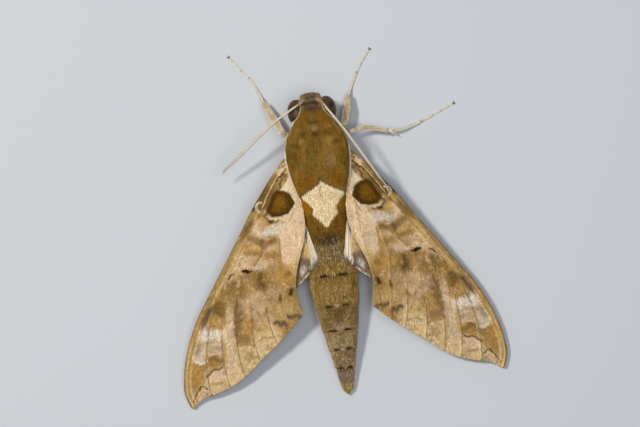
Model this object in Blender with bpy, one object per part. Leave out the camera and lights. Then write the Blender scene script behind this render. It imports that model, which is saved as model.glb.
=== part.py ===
"""A hawk moth at rest with its wings spread back, life size.

The moth faces +Y and stands on the plane Z = 0. Each sub-part is one named closed solid.
All tables are in millimetres and are turned into metres when a mesh is made.
"""

import math

import bmesh
import bpy
import numpy as np

MM = 0.001

# ---------------------------------------------------------------- driving dimensions, mm
PART_GAP = 0.12  # clear space between two sub-parts that touch
WING_THICKNESS = 0.5
FLOOR = 0.0
NECK_Y = 17.5  # cut between head and thorax
WAIST_Y = -1.5  # cut between thorax and abdomen
BODY_SIDES = 24  # facets round the body
TUBE_SIDES = 8  # facets round legs and feelers

# y, half width, level of the widest point, top, underside
BODY_STATIONS = (
    (23.15, 1.02, 6.70, 7.55, 5.80),
    (22.70, 1.62, 6.60, 8.15, 5.10),
    (21.60, 2.15, 6.60, 8.95, 4.60),
    (20.00, 2.65, 6.80, 9.75, 4.00),
    (18.60, 3.35, 7.05, 10.40, 3.40),
    (17.00, 4.40, 7.30, 11.05, 2.80),
    (15.50, 5.25, 7.50, 11.55, 2.30),
    (13.50, 5.80, 7.60, 12.00, 1.90),
    (11.50, 5.95, 7.60, 12.20, 1.70),
    (8.50, 5.65, 7.40, 12.10, 1.60),
    (5.50, 5.05, 7.00, 11.60, 1.60),
    (2.50, 4.45, 6.50, 10.95, 1.60),
    (-1.50, 4.20, 5.90, 10.10, 1.50),
    (-5.00, 4.35, 5.40, 9.55, 1.20),
    (-9.90, 4.60, 4.70, 8.70, 0.80),
    (-13.00, 4.40, 4.20, 8.00, 0.50),
    (-16.00, 4.02, 3.70, 7.10, 0.20),
    (-20.30, 3.27, 2.95, 5.70, -0.10),
    (-23.80, 2.56, 2.30, 4.45, -0.16),
    (-27.10, 1.80, 1.75, 3.20, -0.12),
    (-29.50, 1.32, 1.35, 2.30, 0.10),
    (-31.00, 0.85, 1.10, 1.65, 0.50),
    (-31.60, 0.42, 1.00, 1.25, 0.75),
)
ABDOMEN_JOINTS = (-5.2, -9.9, -15.7, -20.3, -23.8, -27.1)
SEGMENT_FLARE = 0.14  # how far each abdominal ring stands over the next
SEGMENT_STEP = 0.12  # half the length of the step at a joint

EYE_CENTRE = (2.74, 19.84, 6.70)
EYE_RADII = (1.72, 2.44, 2.18)
PALP_CENTRE = (1.34, 21.92, 6.10)
PALP_RADII = (0.74, 1.25, 2.00)

# Tegula: the shoulder lappet over each wing root. y, inner angle, outer angle, degrees above level
TEGULA_OUTLINE = (
    (15.6, 52, 16),
    (14.0, 62, 5),
    (11.5, 70, 3),
    (9.0, 79, 4),
    (7.4, 84, 6),
    (6.2, 62, 10),
    (5.0, 38, 20),
)
TEGULA_THICKNESS = 0.55
SHOULDER_RADIUS = 5.5  # turns the gap round a tegula into degrees

# Forewing edges on the right side, from the root outwards to the apex: x, y, z of the middle sheet
FOREWING_COSTA = (
    (4.9, 12.8, 6.8),
    (6.5, 11.6, 6.85),
    (8.1, 9.8, 6.7),
    (12.0, 5.0, 5.9),
    (17.4, -2.9, 4.6),
    (22.2, -9.9, 3.5),
    (25.9, -15.5, 2.6),
    (28.2, -20.6, 1.9),
    (29.4, -25.0, 1.4),
    (29.65, -28.3, 1.1),
    (28.7, -31.4, 0.9),
)
FOREWING_INNER = (
    (4.3, 3.9, 7.7),
    (3.85, 2.0, 8.4),
    (3.75, -0.4, 8.9),
    (4.3, -3.0, 8.8),
    (5.4, -5.9, 8.2),
    (6.5, -9.2, 7.3),
    (6.9, -12.0, 6.7),
    (6.7, -14.4, 6.3),
    (6.3, -16.6, 6.0),
)
FOREWING_TERMEN = (
    (6.3, -16.6, 6.0),
    (10.2, -20.2, 5.1),
    (15.2, -24.2, 3.9),
    (19.6, -27.4, 2.9),
    (23.2, -28.8, 2.2),
    (26.0, -29.5, 1.6),
    (27.5, -30.3, 1.2),
    (28.7, -31.4, 0.9),
)
FOREWING_ARCH = 0.55  # rise of the sheet between its two edges

HINDWING_COSTA = (
    (4.6, 6.0, 6.0),
    (7.2, 3.2, 5.6),
    (11.2, -2.8, 4.6),
    (15.8, -9.6, 3.4),
    (19.6, -15.4, 2.4),
    (21.3, -19.0, 1.9),
)
HINDWING_INNER = (
    (4.3, 2.4, 6.6),
    (4.3, -0.5, 7.6),
    (4.0, -3.5, 7.95),
    (3.7, -6.5, 8.0),
    (3.75, -8.6, 7.55),
    (4.1, -9.3, 7.15),
)
HINDWING_TERMEN = (
    (4.1, -9.3, 7.15),
    (5.4, -10.5, 6.5),
    (6.8, -11.6, 5.9),
    (9.6, -14.6, 4.9),
    (13.6, -18.4, 3.6),
    (18.0, -20.4, 2.5),
    (21.3, -19.0, 1.9),
)
HINDWING_ARCH = 0.15

# Feelers and legs: x, y, z, radius along the middle line, from the body outwards
ANTENNA_LEFT = (
    (-0.9, 21.8, 7.6, 0.34),
    (-1.35, 21.8, 8.7, 0.34),
    (-2.1, 21.3, 9.3, 0.34),
    (-3.5, 20.55, 9.5, 0.34),
    (-6.5, 18.9, 9.2, 0.33),
    (-9.6, 16.8, 8.3, 0.33),
    (-13.0, 14.2, 7.0, 0.31),
    (-16.0, 12.0, 5.8, 0.28),
    (-17.3, 11.0, 5.2, 0.26),
    (-17.7, 10.1, 4.8, 0.25),
)
ANTENNA_RIGHT = (
    (0.9, 21.8, 7.6, 0.34),
    (1.4, 21.7, 8.7, 0.34),
    (2.1, 21.0, 9.4, 0.34),
    (2.9, 19.65, 9.85, 0.34),
    (4.6, 17.0, 10.1, 0.33),
    (6.9, 13.0, 9.6, 0.33),
    (8.8, 9.6, 8.7, 0.31),
    (10.5, 6.5, 7.8, 0.28),
    (11.6, 4.6, 7.3, 0.26),
    (11.85, 3.6, 7.2, 0.25),
)
FORELEG_LEFT = (
    (-2.0, 14.6, 3.4, 0.95),
    (-3.9, 15.0, 2.3, 0.8),
    (-5.4, 16.2, 2.9, 0.62),
    (-7.0, 19.2, 2.9, 0.8),
    (-8.45, 22.6, 1.5, 0.54),
    (-9.1, 24.3, 0.6, 0.32),
    (-10.2, 26.8, 0.27, 0.29),
    (-12.0, 29.2, 0.25, 0.27),
    (-13.8, 31.7, 0.24, 0.26),
)
FORELEG_RIGHT = (
    (2.0, 14.6, 3.4, 0.95),
    (3.9, 15.0, 2.3, 0.8),
    (5.3, 16.6, 2.9, 0.62),
    (6.2, 19.0, 2.9, 0.8),
    (7.0, 21.9, 1.5, 0.54),
    (7.5, 23.1, 0.6, 0.32),
    (8.6, 25.2, 0.27, 0.29),
    (10.0, 27.5, 0.25, 0.27),
    (11.9, 29.9, 0.24, 0.26),
)
MIDLEG_RIGHT = (
    (2.2, 10.6, 2.9, 0.95),
    (4.4, 12.5, 2.0, 0.75),
    (6.3, 15.2, 3.4, 0.38),
    (8.6, 15.7, 3.6, 0.37),
    (13.6, 14.6, 2.3, 0.35),
    (15.4, 14.5, 1.5, 0.30),
    (19.7, 15.6, 0.34, 0.29),
    (22.5, 16.75, 0.25, 0.27),
    (25.9, 18.1, 0.24, 0.26),
)
MIDLEG_LEFT = (
    (-2.2, 10.6, 2.9, 0.95),
    (-4.6, 9.4, 1.9, 0.75),
    (-7.1, 6.8, 2.8, 0.38),
    (-8.0, 4.4, 2.7, 0.37),
    (-9.6, -0.2, 1.5, 0.35),
    (-10.2, -2.0, 0.8, 0.30),
    (-11.4, -5.0, 0.27, 0.29),
    (-12.5, -7.4, 0.25, 0.27),
    (-13.7, -9.6, 0.24, 0.26),
)
HINDLEG_RIGHT = (
    (2.0, 6.0, 2.9, 0.95),
    (4.2, 4.0, 1.8, 0.72),
    (6.3, 0.8, 2.6, 0.46),
    (6.9, -1.8, 2.5, 0.44),
    (7.9, -7.0, 1.3, 0.38),
    (8.3, -8.8, 0.6, 0.32),
    (9.0, -11.4, 0.27, 0.29),
    (9.8, -13.4, 0.25, 0.27),
    (10.9, -15.4, 0.24, 0.26),
)
SPUR_LENGTH = 1.7
SPUR_RADIUS = 0.26
SPUR_SPREAD = 0.5  # how far the two spurs of a pair part, as a share of their length

COIL_CENTRE = (21.75, 3.45)  # y and z of the rolled tongue
COIL_RADIUS = 1.0
COIL_PITCH = 0.64
COIL_TURNS = 1.6
TONGUE_RADIUS = 0.26

BROWN = (0.20, 0.115, 0.035)
OLIVE = (0.23, 0.17, 0.09)
TAN = (0.50, 0.33, 0.17)
CREAM = (0.66, 0.56, 0.39)
EYE_BROWN = (0.045, 0.025, 0.015)


# ---------------------------------------------------------------- curves and surfaces
def smooth(keys, values, at):
    """Cubic pieces through (keys, values), with each key's slope taken from its neighbours."""
    keys, values, at = (np.asarray(a, float) for a in (keys, values, at))
    slopes = np.gradient(values, keys, axis=0)
    i = np.clip(np.searchsorted(keys, at, side="right") - 1, 0, len(keys) - 2)
    span = keys[i + 1] - keys[i]
    t = (at - keys[i]) / span
    if values.ndim > 1:
        t, span = t[:, None], span[:, None]
    return (
        values[i] * (1 + 2 * t) * (1 - t) ** 2
        + values[i + 1] * t * t * (3 - 2 * t)
        + span * slopes[i] * t * (1 - t) ** 2
        - span * slopes[i + 1] * t * t * (1 - t)
    )


def along(points, count):
    """count rows evenly spaced along a smooth curve through the points."""
    points = np.asarray(points, float)
    steps = np.linalg.norm(np.diff(points[:, :3], axis=0), axis=1)
    reach = np.concatenate([[0], np.cumsum(steps)])
    return smooth(reach, points, np.linspace(0, reach[-1], count))


def body_sizes(y):
    """Half width, level, top and underside of the body at each y."""
    table = np.array(BODY_STATIONS)[::-1]
    return smooth(table[:, 0], table[:, 1:], y).T


def body_flare(y):
    """A saw-tooth swelling that peaks at the rear edge of each abdominal ring."""
    joints = np.array(sorted(ABDOMEN_JOINTS))
    ahead = np.array([min([y0 - j for j in joints if y0 >= j], default=99) for y0 in y])
    flare = SEGMENT_FLARE * np.clip(1 - ahead / 2.5, 0, 1)
    return np.where(y < max(ABDOMEN_JOINTS) + 2.5, flare, 0)


def body_point(y, angle, grow=0.0):
    """Points on the body: an ellipse at each y, with its own height above and below the widest level."""
    y, angle = np.broadcast_arrays(np.asarray(y, float), np.asarray(angle, float))
    width, level, top, under = body_sizes(y.ravel())
    swell = body_flare(y.ravel()) + grow
    turn = angle.ravel()
    high = np.where(np.sin(turn) > 0, top - level, level - under) + swell
    x = (width + swell) * np.cos(turn)
    z = level + high * np.sin(turn)
    return np.stack([x, y.ravel(), z], axis=-1).reshape(*y.shape, 3)


# ---------------------------------------------------------------- meshes and objects
def material(name, colour, roughness):
    """A Principled BSDF of one colour, made once for each name."""
    made = bpy.data.materials.get(name) or bpy.data.materials.new(name)
    made.use_nodes = True
    made.diffuse_color = (*colour, 1)
    shader = made.node_tree.nodes["Principled BSDF"]
    shader.inputs["Base Color"].default_value = (*colour, 1)
    shader.inputs["Roughness"].default_value = roughness
    shader.inputs["Metallic"].default_value = 0.0
    return made


def add_object(name, bm, finish):
    """A bmesh in millimetres as an object in metres, shaded smooth with outward faces."""
    bmesh.ops.remove_doubles(bm, verts=bm.verts, dist=1e-5)
    bmesh.ops.recalc_face_normals(bm, faces=bm.faces)
    bmesh.ops.scale(bm, verts=bm.verts, vec=(MM, MM, MM))
    mesh = bpy.data.meshes.new(name)
    bm.to_mesh(mesh)
    bm.free()
    mesh.shade_smooth()
    mesh.set_sharp_from_angle(angle=math.radians(45))
    obj = bpy.data.objects.new(name, mesh)
    bpy.context.scene.collection.objects.link(obj)
    mesh.materials.append(material(*finish))
    return obj


def as_cutter(obj):
    """A helper that shapes other objects and is no part of the moth."""
    obj.hide_render = True
    obj.display_type = "WIRE"
    return obj


def combine(obj, tool, operation="DIFFERENCE"):
    """A live Boolean modifier."""
    modifier = obj.modifiers.new(f"{operation.lower()}_{tool.name}", "BOOLEAN")
    modifier.operation = operation
    modifier.object = tool


def loft(rings):
    """A bmesh with a skin over rows of closed rings and a flat cap on each end."""
    bm = bmesh.new()
    rows = [[bm.verts.new(point) for point in ring] for ring in rings]
    for one, two in zip(rows, rows[1:]):
        for i in range(len(one)):
            j = (i + 1) % len(one)
            bm.faces.new((one[i], one[j], two[j], two[i]))
    bm.faces.new(rows[0])
    bm.faces.new(reversed(rows[-1]))
    return bm


def body_length(name, front, back, finish, grow=0.0, step=2.0):
    """One length of the body, from y = front back to y = back, flat where it meets the floor."""
    ys = set(np.linspace(front, back, max(4, round((front - back) / step))))
    for joint in ABDOMEN_JOINTS:
        if back < joint - SEGMENT_STEP and joint + SEGMENT_STEP < front:
            ys |= {joint + 1e-3, joint - SEGMENT_STEP}
    ys = np.array(sorted(ys, reverse=True))
    turns = np.linspace(0, 2 * math.pi, BODY_SIDES, endpoint=False)
    rings = body_point(ys[:, None], turns[None, :], grow)
    rings[..., 2] = np.maximum(rings[..., 2], FLOOR - grow)
    return add_object(name, loft(rings), finish)


def ellipsoid(name, centre, radii, finish, grow=0.0, segments=16):
    """A ball stretched to its three radii."""
    bm = bmesh.new()
    bmesh.ops.create_uvsphere(bm, u_segments=segments, v_segments=segments // 2 + 1, radius=1)
    bmesh.ops.scale(bm, verts=bm.verts, vec=[radius + grow for radius in radii])
    bmesh.ops.translate(bm, verts=bm.verts, vec=centre)
    return add_object(name, bm, finish)


def tube(name, points, finish, count=18, sides=TUBE_SIDES):
    """A round limb along a smooth curve through (x, y, z, radius) points, flat where it meets the floor."""
    row = along(points, count)
    centres, radii = row[:, :3], row[:, 3]
    tangents = np.gradient(centres, axis=0)
    tangents /= np.linalg.norm(tangents, axis=1)[:, None]
    side = np.cross(tangents[0], (0, 0, 1))
    if np.linalg.norm(side) < 0.1:
        side = np.array((1.0, 0.0, 0.0))
    turns = np.linspace(0, 2 * math.pi, sides, endpoint=False) + math.pi / sides
    rings = []
    for centre, radius, tangent in zip(centres, radii, tangents):
        side = side - tangent * (side @ tangent)
        side /= np.linalg.norm(side)
        up = np.cross(side, tangent)
        ring = centre + radius * (np.cos(turns)[:, None] * side + np.sin(turns)[:, None] * up)
        ring[:, 2] = np.maximum(ring[:, 2], FLOOR)
        rings.append(ring)
    return add_object(name, loft(rings), finish)


def mirrored(points):
    """The same points on the other side of the body."""
    return tuple((-point[0], *point[1:]) for point in points)


# ---------------------------------------------------------------- sub-parts
def make_tegula(side, name, finish, deep, proud, grow=0.0):
    """A lappet that follows the thorax between two angles, from deep under the surface to proud of it."""
    table = np.array(TEGULA_OUTLINE)[::-1]
    ys = np.linspace(table[0, 0] - grow, table[-1, 0] + grow, 11)
    inner, outer = smooth(table[:, 0], table[:, 1:], ys).T
    widen = math.degrees(2.0 * grow / SHOULDER_RADIUS)
    inner, outer = inner + widen, outer - widen
    across = np.linspace(0, 1, 7)
    turns = np.radians(inner[:, None] * (1 - across) + outer[:, None] * across)
    top, base = (body_point(ys[:, None], turns, offset) for offset in (proud, -deep))
    rings = [np.concatenate([top[i], base[i][::-1]]) for i in range(len(ys))]
    for ring in rings:
        ring[:, 0] *= side
    return add_object(name, loft(rings), finish)


def make_wing(name, side, costa, inner, termen, arch, finish, inner_rows, termen_rows, columns):
    """A thin sheet between the leading edge and the inner margin plus termen, thickened evenly."""
    trailing = np.concatenate([along(inner, inner_rows)[:-1], along(termen, termen_rows)])
    leading = along(costa, len(trailing))
    bm = bmesh.new()
    rows = []
    for front, back in zip(leading[:-1], trailing[:-1]):
        chord = np.linalg.norm(back - front)
        rise = arch * min(1.0, chord / 10.0)
        row = []
        for share in np.linspace(0, 1, columns):
            point = front * (1 - share) + back * share
            point[2] += rise * 4 * share * (1 - share)
            row.append(bm.verts.new((side * point[0], point[1], point[2])))
        rows.append(row)
    for one, two in zip(rows, rows[1:]):
        for i in range(columns - 1):
            bm.faces.new((one[i], one[i + 1], two[i + 1], two[i]))
    apex = bm.verts.new((side * leading[-1][0], leading[-1][1], leading[-1][2]))
    for i in range(columns - 1):
        bm.faces.new((rows[-1][i], rows[-1][i + 1], apex))
    obj = add_object(name, bm, finish)
    thick = obj.modifiers.new("thickness", "SOLIDIFY")
    thick.thickness = WING_THICKNESS * MM
    thick.offset = 0
    return obj


def make_leg(name, points, finish, spurred=False):
    """Coxa, femur, tibia and tarsus in one limb, with a pair of spurs at the end of the tibia."""
    leg = tube(name, points, finish)
    if not spurred:
        return leg
    heel = np.array(points[4][:3])
    run = np.array(points[5][:3]) - np.array(points[3][:3])
    run /= np.linalg.norm(run)
    across = np.cross(run, (0, 0, 1))
    across /= np.linalg.norm(across)
    for i, lean in enumerate((-SPUR_SPREAD, SPUR_SPREAD)):
        way = run + across * lean
        way /= np.linalg.norm(way)
        tip = heel + way * SPUR_LENGTH
        tip[2] = max(tip[2] - 0.3, SPUR_RADIUS)
        spur = (*(heel - 0.1 * run), SPUR_RADIUS), (*((heel + tip) / 2), 0.24), (*tip, 0.16)
        combine(leg, as_cutter(tube(f"{name}_spur{i}", spur, finish, count=6, sides=6)), "UNION")
    return leg


def make_tongue(finish):
    """The rolled proboscis: a flat spiral that starts inside the mouth."""
    turns = np.linspace(0, COIL_TURNS * 2 * math.pi, 22)
    reach = COIL_RADIUS - COIL_PITCH * turns / (2 * math.pi)
    start = math.radians(115)
    y = COIL_CENTRE[0] + reach * np.cos(start - turns)
    z = COIL_CENTRE[1] + reach * np.sin(start - turns)
    spiral = [(0, a, b, TONGUE_RADIUS) for a, b in zip(y, z)]
    root = [(0, y[0] - 0.35, z[0] + 0.45, TONGUE_RADIUS)]
    return tube("proboscis", root + spiral, finish, count=26, sides=6)


def main():
    for obj in list(bpy.data.objects):
        bpy.data.objects.remove(obj)
    fur, scales = ("fur_brown", BROWN, 0.8), ("scales_olive", OLIVE, 0.75)
    wing, pale = ("wing_tan", TAN, 0.7), ("limb_cream", CREAM, 0.7)
    glossy = ("eye_brown", EYE_BROWN, 0.15)

    half = PART_GAP / 2
    head = body_length("head", BODY_STATIONS[0][0], NECK_Y + half, fur, step=0.9)
    thorax = body_length("thorax", NECK_Y - half, WAIST_Y + half, fur)
    body_length("abdomen", WAIST_Y - half, BODY_STATIONS[-1][0], scales)
    whole = BODY_STATIONS[0][0], BODY_STATIONS[-1][0]
    clearance = as_cutter(body_length("body_clearance", *whole, fur, grow=PART_GAP, step=0.9))

    for side, word in ((-1, "left"), (1, "right")):
        floor = TEGULA_THICKNESS + 1.6 * PART_GAP
        pocket = make_tegula(side, f"pocket_{word}", fur, deep=floor, proud=1.0, grow=PART_GAP)
        combine(thorax, as_cutter(pocket))
        make_tegula(side, f"tegula_{word}", fur, deep=TEGULA_THICKNESS, proud=0.0)

        eye = (side * EYE_CENTRE[0], *EYE_CENTRE[1:])
        socket = as_cutter(ellipsoid(f"socket_{word}", eye, EYE_RADII, fur, grow=PART_GAP))
        combine(head, socket)
        ellipsoid(f"eye_{word}", eye, EYE_RADII, glossy)
        place = (side * PALP_CENTRE[0], *PALP_CENTRE[1:])
        combine(head, as_cutter(ellipsoid(f"cheek_{word}", place, PALP_RADII, fur, grow=PART_GAP)))
        combine(ellipsoid(f"palp_{word}", place, PALP_RADII, pale, segments=10), socket)

        forewing = make_wing(
            f"forewing_{word}", side, FOREWING_COSTA, FOREWING_INNER, FOREWING_TERMEN,
            FOREWING_ARCH, wing, inner_rows=9, termen_rows=13, columns=8,
        )
        hindwing = make_wing(
            f"hindwing_{word}", side, HINDWING_COSTA, HINDWING_INNER, HINDWING_TERMEN,
            HINDWING_ARCH, wing, inner_rows=7, termen_rows=8, columns=5,
        )
        combine(forewing, clearance)
        combine(hindwing, clearance)

    combine(make_tongue(pale), clearance)
    limbs = [
        tube("antenna_left", ANTENNA_LEFT, pale),
        tube("antenna_right", ANTENNA_RIGHT, pale),
        make_leg("foreleg_left", FORELEG_LEFT, pale),
        make_leg("foreleg_right", FORELEG_RIGHT, pale),
        make_leg("midleg_left", MIDLEG_LEFT, pale, spurred=True),
        make_leg("midleg_right", MIDLEG_RIGHT, pale, spurred=True),
        make_leg("hindleg_left", mirrored(HINDLEG_RIGHT), pale, spurred=True),
        make_leg("hindleg_right", HINDLEG_RIGHT, pale, spurred=True),
    ]
    for limb in limbs:
        combine(limb, clearance)


main()
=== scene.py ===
import math
import bpy
import numpy as np
from mathutils import Matrix, Vector


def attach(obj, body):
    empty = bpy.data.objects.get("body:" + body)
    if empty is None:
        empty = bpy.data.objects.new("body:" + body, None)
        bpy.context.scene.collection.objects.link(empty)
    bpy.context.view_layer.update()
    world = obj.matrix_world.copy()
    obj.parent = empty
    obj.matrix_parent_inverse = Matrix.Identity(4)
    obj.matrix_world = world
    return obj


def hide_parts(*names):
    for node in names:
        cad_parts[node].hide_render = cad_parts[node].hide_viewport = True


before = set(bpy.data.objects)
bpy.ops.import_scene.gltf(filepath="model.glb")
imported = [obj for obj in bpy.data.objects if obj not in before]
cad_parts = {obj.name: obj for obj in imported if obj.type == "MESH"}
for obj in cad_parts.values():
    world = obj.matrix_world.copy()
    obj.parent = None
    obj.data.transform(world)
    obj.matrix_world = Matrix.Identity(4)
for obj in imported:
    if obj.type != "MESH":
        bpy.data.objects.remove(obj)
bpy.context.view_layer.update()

# A hawk moth at rest. Lengths are in millimetres until a mesh is filled, +Y is the head's side and +Z up.
mm = 0.001
print("frame loaded:", len(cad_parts), "nodes")


# cubic pieces through (keys, values), each key's slope taken from its two neighbours
def smooth(keys, values, at):
    keys, values, at = (np.asarray(a, float) for a in (keys, values, at))
    slopes = np.gradient(values, keys, axis=0)
    i = np.clip(np.searchsorted(keys, at, side="right") - 1, 0, len(keys) - 2)
    span = keys[i + 1] - keys[i]
    t = (at - keys[i]) / span
    if values.ndim > 1:
        t, span = t[..., None], span[..., None]
    ends = values[i] * (1 + 2 * t) * (1 - t) ** 2 + values[i + 1] * t * t * (3 - 2 * t)
    return ends + span * (slopes[i] * t * (1 - t) ** 2 - slopes[i + 1] * t * t * (1 - t))


# a point at each share 0..1 of the length of a smooth curve through the points
def alongAt(points, share):
    points = np.asarray(points, float)
    steps = np.linalg.norm(np.diff(points[:, :3], axis=0), axis=1)
    reach = np.concatenate([[0], np.cumsum(steps)])
    return smooth(reach, points, np.asarray(share) * reach[-1])


# 0 before start, 1 after end, with a soft S between
def ease(start, end, value):
    t = np.clip((value - start) / (end - start), 0, 1)
    return t * t * (3 - 2 * t)


# each vector over its own length
def unit(vectors):
    return vectors / np.maximum(np.linalg.norm(vectors, axis=-1, keepdims=True), 1e-9)


# a bell curve about the middle: e to the minus square of (value - middle) / spread
def bell(value, middle, spread):
    return np.exp(-((value - middle) / spread) ** 2)


# one colour for every point
def plain(colour, points):
    return np.broadcast_to(colour, points.shape)


# colour + (other - colour) * mask
def mixed(colour, other, mask):
    return colour + (np.asarray(other) - colour) * np.clip(mask, 0, 1)[..., None]


# the fraction of a sine of the lattice point: 0..1, the same on every run
def hashed(cell, seed):
    mixedUp = cell @ np.array([127.1, 311.7, 74.7]) + seed * 19.19
    value = np.sin(mixedUp) * 43758.5453
    return value - np.floor(value)


# up to three numbers of each thing, as its row for hashed()
def keyOf(first, second=0, third=0):
    return np.stack(np.broadcast_arrays(first, second, third), -1)


# three hashes -0.5..0.5 for each key
def scattered(key, seed):
    return np.stack([hashed(key, seed + i) for i in range(3)], -1) - 0.5


# turns x over where side is -1
def mirror(side):
    side = np.asarray(side, float)
    return np.stack([side, np.ones_like(side), np.ones_like(side)], -1)


# value noise 0..1: eight lattice corners blended by an S curve, summed over octaves
def noise(points, size, seed=0, octaves=3):
    total, weight, gain = 0, 0, 1.0
    for octave in range(octaves):
        place = points * (2 ** octave / size)
        cell = np.floor(place)
        t = place - cell
        t = t * t * (3 - 2 * t)
        value = 0
        for corner in np.ndindex(2, 2, 2):
            near = np.prod(np.where(corner, t, 1 - t), axis=-1)
            value = value + near * hashed(cell + corner, seed + octave)
        total, weight, gain = total + gain * value, weight + gain, gain * 0.5
    return total / weight


# distance of (x, y) points to a polyline
def lineGap(x, y, line):
    line = np.asarray(line, float)[:, :2]
    best = np.full(np.shape(x), 1e9)
    for a, b in zip(line[:-1], line[1:]):
        run = b - a
        t = np.clip(((x - a[0]) * run[0] + (y - a[1]) * run[1]) / (run @ run), 0, 1)
        best = np.minimum(best, np.hypot(x - a[0] - t * run[0], y - a[1] - t * run[1]))
    return best


# 1 inside a tilted ellipse, falling to 0 over the soft share of its radius
def spot(x, y, centre, radii, tilt=0, soft=0.5):
    turn = math.radians(tilt)
    along = (x - centre[0]) * math.cos(turn) + (y - centre[1]) * math.sin(turn)
    across = (y - centre[1]) * math.cos(turn) - (x - centre[0]) * math.sin(turn)
    return 1 - ease(1 - soft / 2, 1 + soft / 2, np.hypot(along / radii[0], across / radii[1]))


# corner indices of the quads of a grid; around joins the last column to the first
def gridFaces(rows, columns, around=False):
    i = np.arange(rows - 1)[:, None] * columns
    j = np.arange(columns if around else columns - 1)[None, :]
    k = (j + 1) % columns
    return np.stack([i + j, i + k, i + columns + k, i + columns + j], -1).reshape(-1, 4)


# a place in the unit square for each corner of those quads, so that a seam never smears
def gridUv(rows, columns, around=False):
    count = columns if around else columns - 1
    i, j = np.meshgrid(np.arange(rows - 1), np.arange(count), indexing="ij")
    u = np.stack([j, j + 1, j + 1, j], -1) / count
    v = np.stack([i, i, i + 1, i + 1], -1) / (rows - 1)
    return np.stack([u, v], -1).reshape(-1, 2)


# closed rings (rows, sides, 3) as one skin, each end drawn in to its middle point
def closedTube(rings):
    rows, sides = rings.shape[:2]
    points = np.concatenate([rings.reshape(-1, 3), rings[0].mean(0)[None], rings[-1].mean(0)[None]])
    j = np.arange(sides)
    k = (j + 1) % sides
    first = np.stack([np.full(sides, rows * sides), k, j], -1)
    end = (rows - 1) * sides
    last = np.stack([np.full(sides, rows * sides + 1), end + j, end + k], -1)
    faces = [gridFaces(rows, sides, True), np.concatenate([first, last])]
    firstUv = np.stack([j + 0.5, j + 1, j], -1).reshape(-1, 1) / sides * [1, 0]
    lastUv = np.stack([j + 0.5, j, j + 1], -1).reshape(-1, 1) / sides * [1, 0] + [0, 1]
    return points, faces, np.concatenate([gridUv(rows, sides, True), firstUv, lastUv])


# a tube's tones ring by ring, with those of its two end points
def tubeTone(tone):
    tone = tone.reshape(-1, 3)
    return np.concatenate([tone, tone[:1], tone[-1:]])


# turns every face over, with its corners' places, where the closed shape encloses less than nothing
def outward(points, faces, uv):
    volume = 0
    for face in faces:
        a, b, c = (points[face[:, i]] for i in range(3))
        volume += np.sum(a * np.cross(b, c))
        if face.shape[1] == 4:
            volume += np.sum(a * np.cross(c, points[face[:, 3]]))
    if volume >= 0:
        return faces, uv
    turned, start = [], 0
    for face in faces:
        size = face.size
        turned.append(uv[start:start + size].reshape(len(face), -1, 2)[:, ::-1].reshape(-1, 2))
        start += size
    return [face[:, ::-1] for face in faces], np.concatenate(turned)


# one mesh object from whole arrays: points in mm, a list of face arrays, a place for each face corner
def makePiece(name, points, faces, finish, uv, tone=None, replaces=(), smoothed=True):
    faces, uv = outward(points, faces, uv)
    mesh = bpy.data.meshes.new(name)
    corners = np.concatenate([face.ravel() for face in faces]).astype(np.int32)
    sizes = np.concatenate([np.full(len(face), face.shape[1]) for face in faces])
    starts = np.concatenate([[0], np.cumsum(sizes)[:-1]]).astype(np.int32)
    mesh.vertices.add(len(points))
    mesh.vertices.foreach_set("co", (points * mm).astype(np.float32).ravel())
    mesh.loops.add(len(corners))
    mesh.loops.foreach_set("vertex_index", corners)
    mesh.polygons.add(len(sizes))
    mesh.polygons.foreach_set("loop_start", starts)
    mesh.update(calc_edges=True)
    mesh.uv_layers.new(name="OFBake").uv.foreach_set("vector", uv.astype(np.float32).ravel())
    if tone is not None:
        colours = np.concatenate([tone, np.ones((len(tone), 1))], -1)
        made = mesh.attributes.new("tone", "FLOAT_COLOR", "POINT")
        made.data.foreach_set("color", colours.astype(np.float32).ravel())
    if smoothed:
        mesh.shade_smooth()
    mesh.materials.append(finish.material)
    piece = bpy.data.objects.new(name, mesh)
    bpy.context.scene.collection.objects.link(piece)
    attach(piece, "root")
    if replaces:
        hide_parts(*replaces)
    print("  ", name, sum(len(face) * (face.shape[1] - 2) for face in faces), "triangles")


lockPatch = 0.003  # how wide one lock's place is on the unwrap


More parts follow.
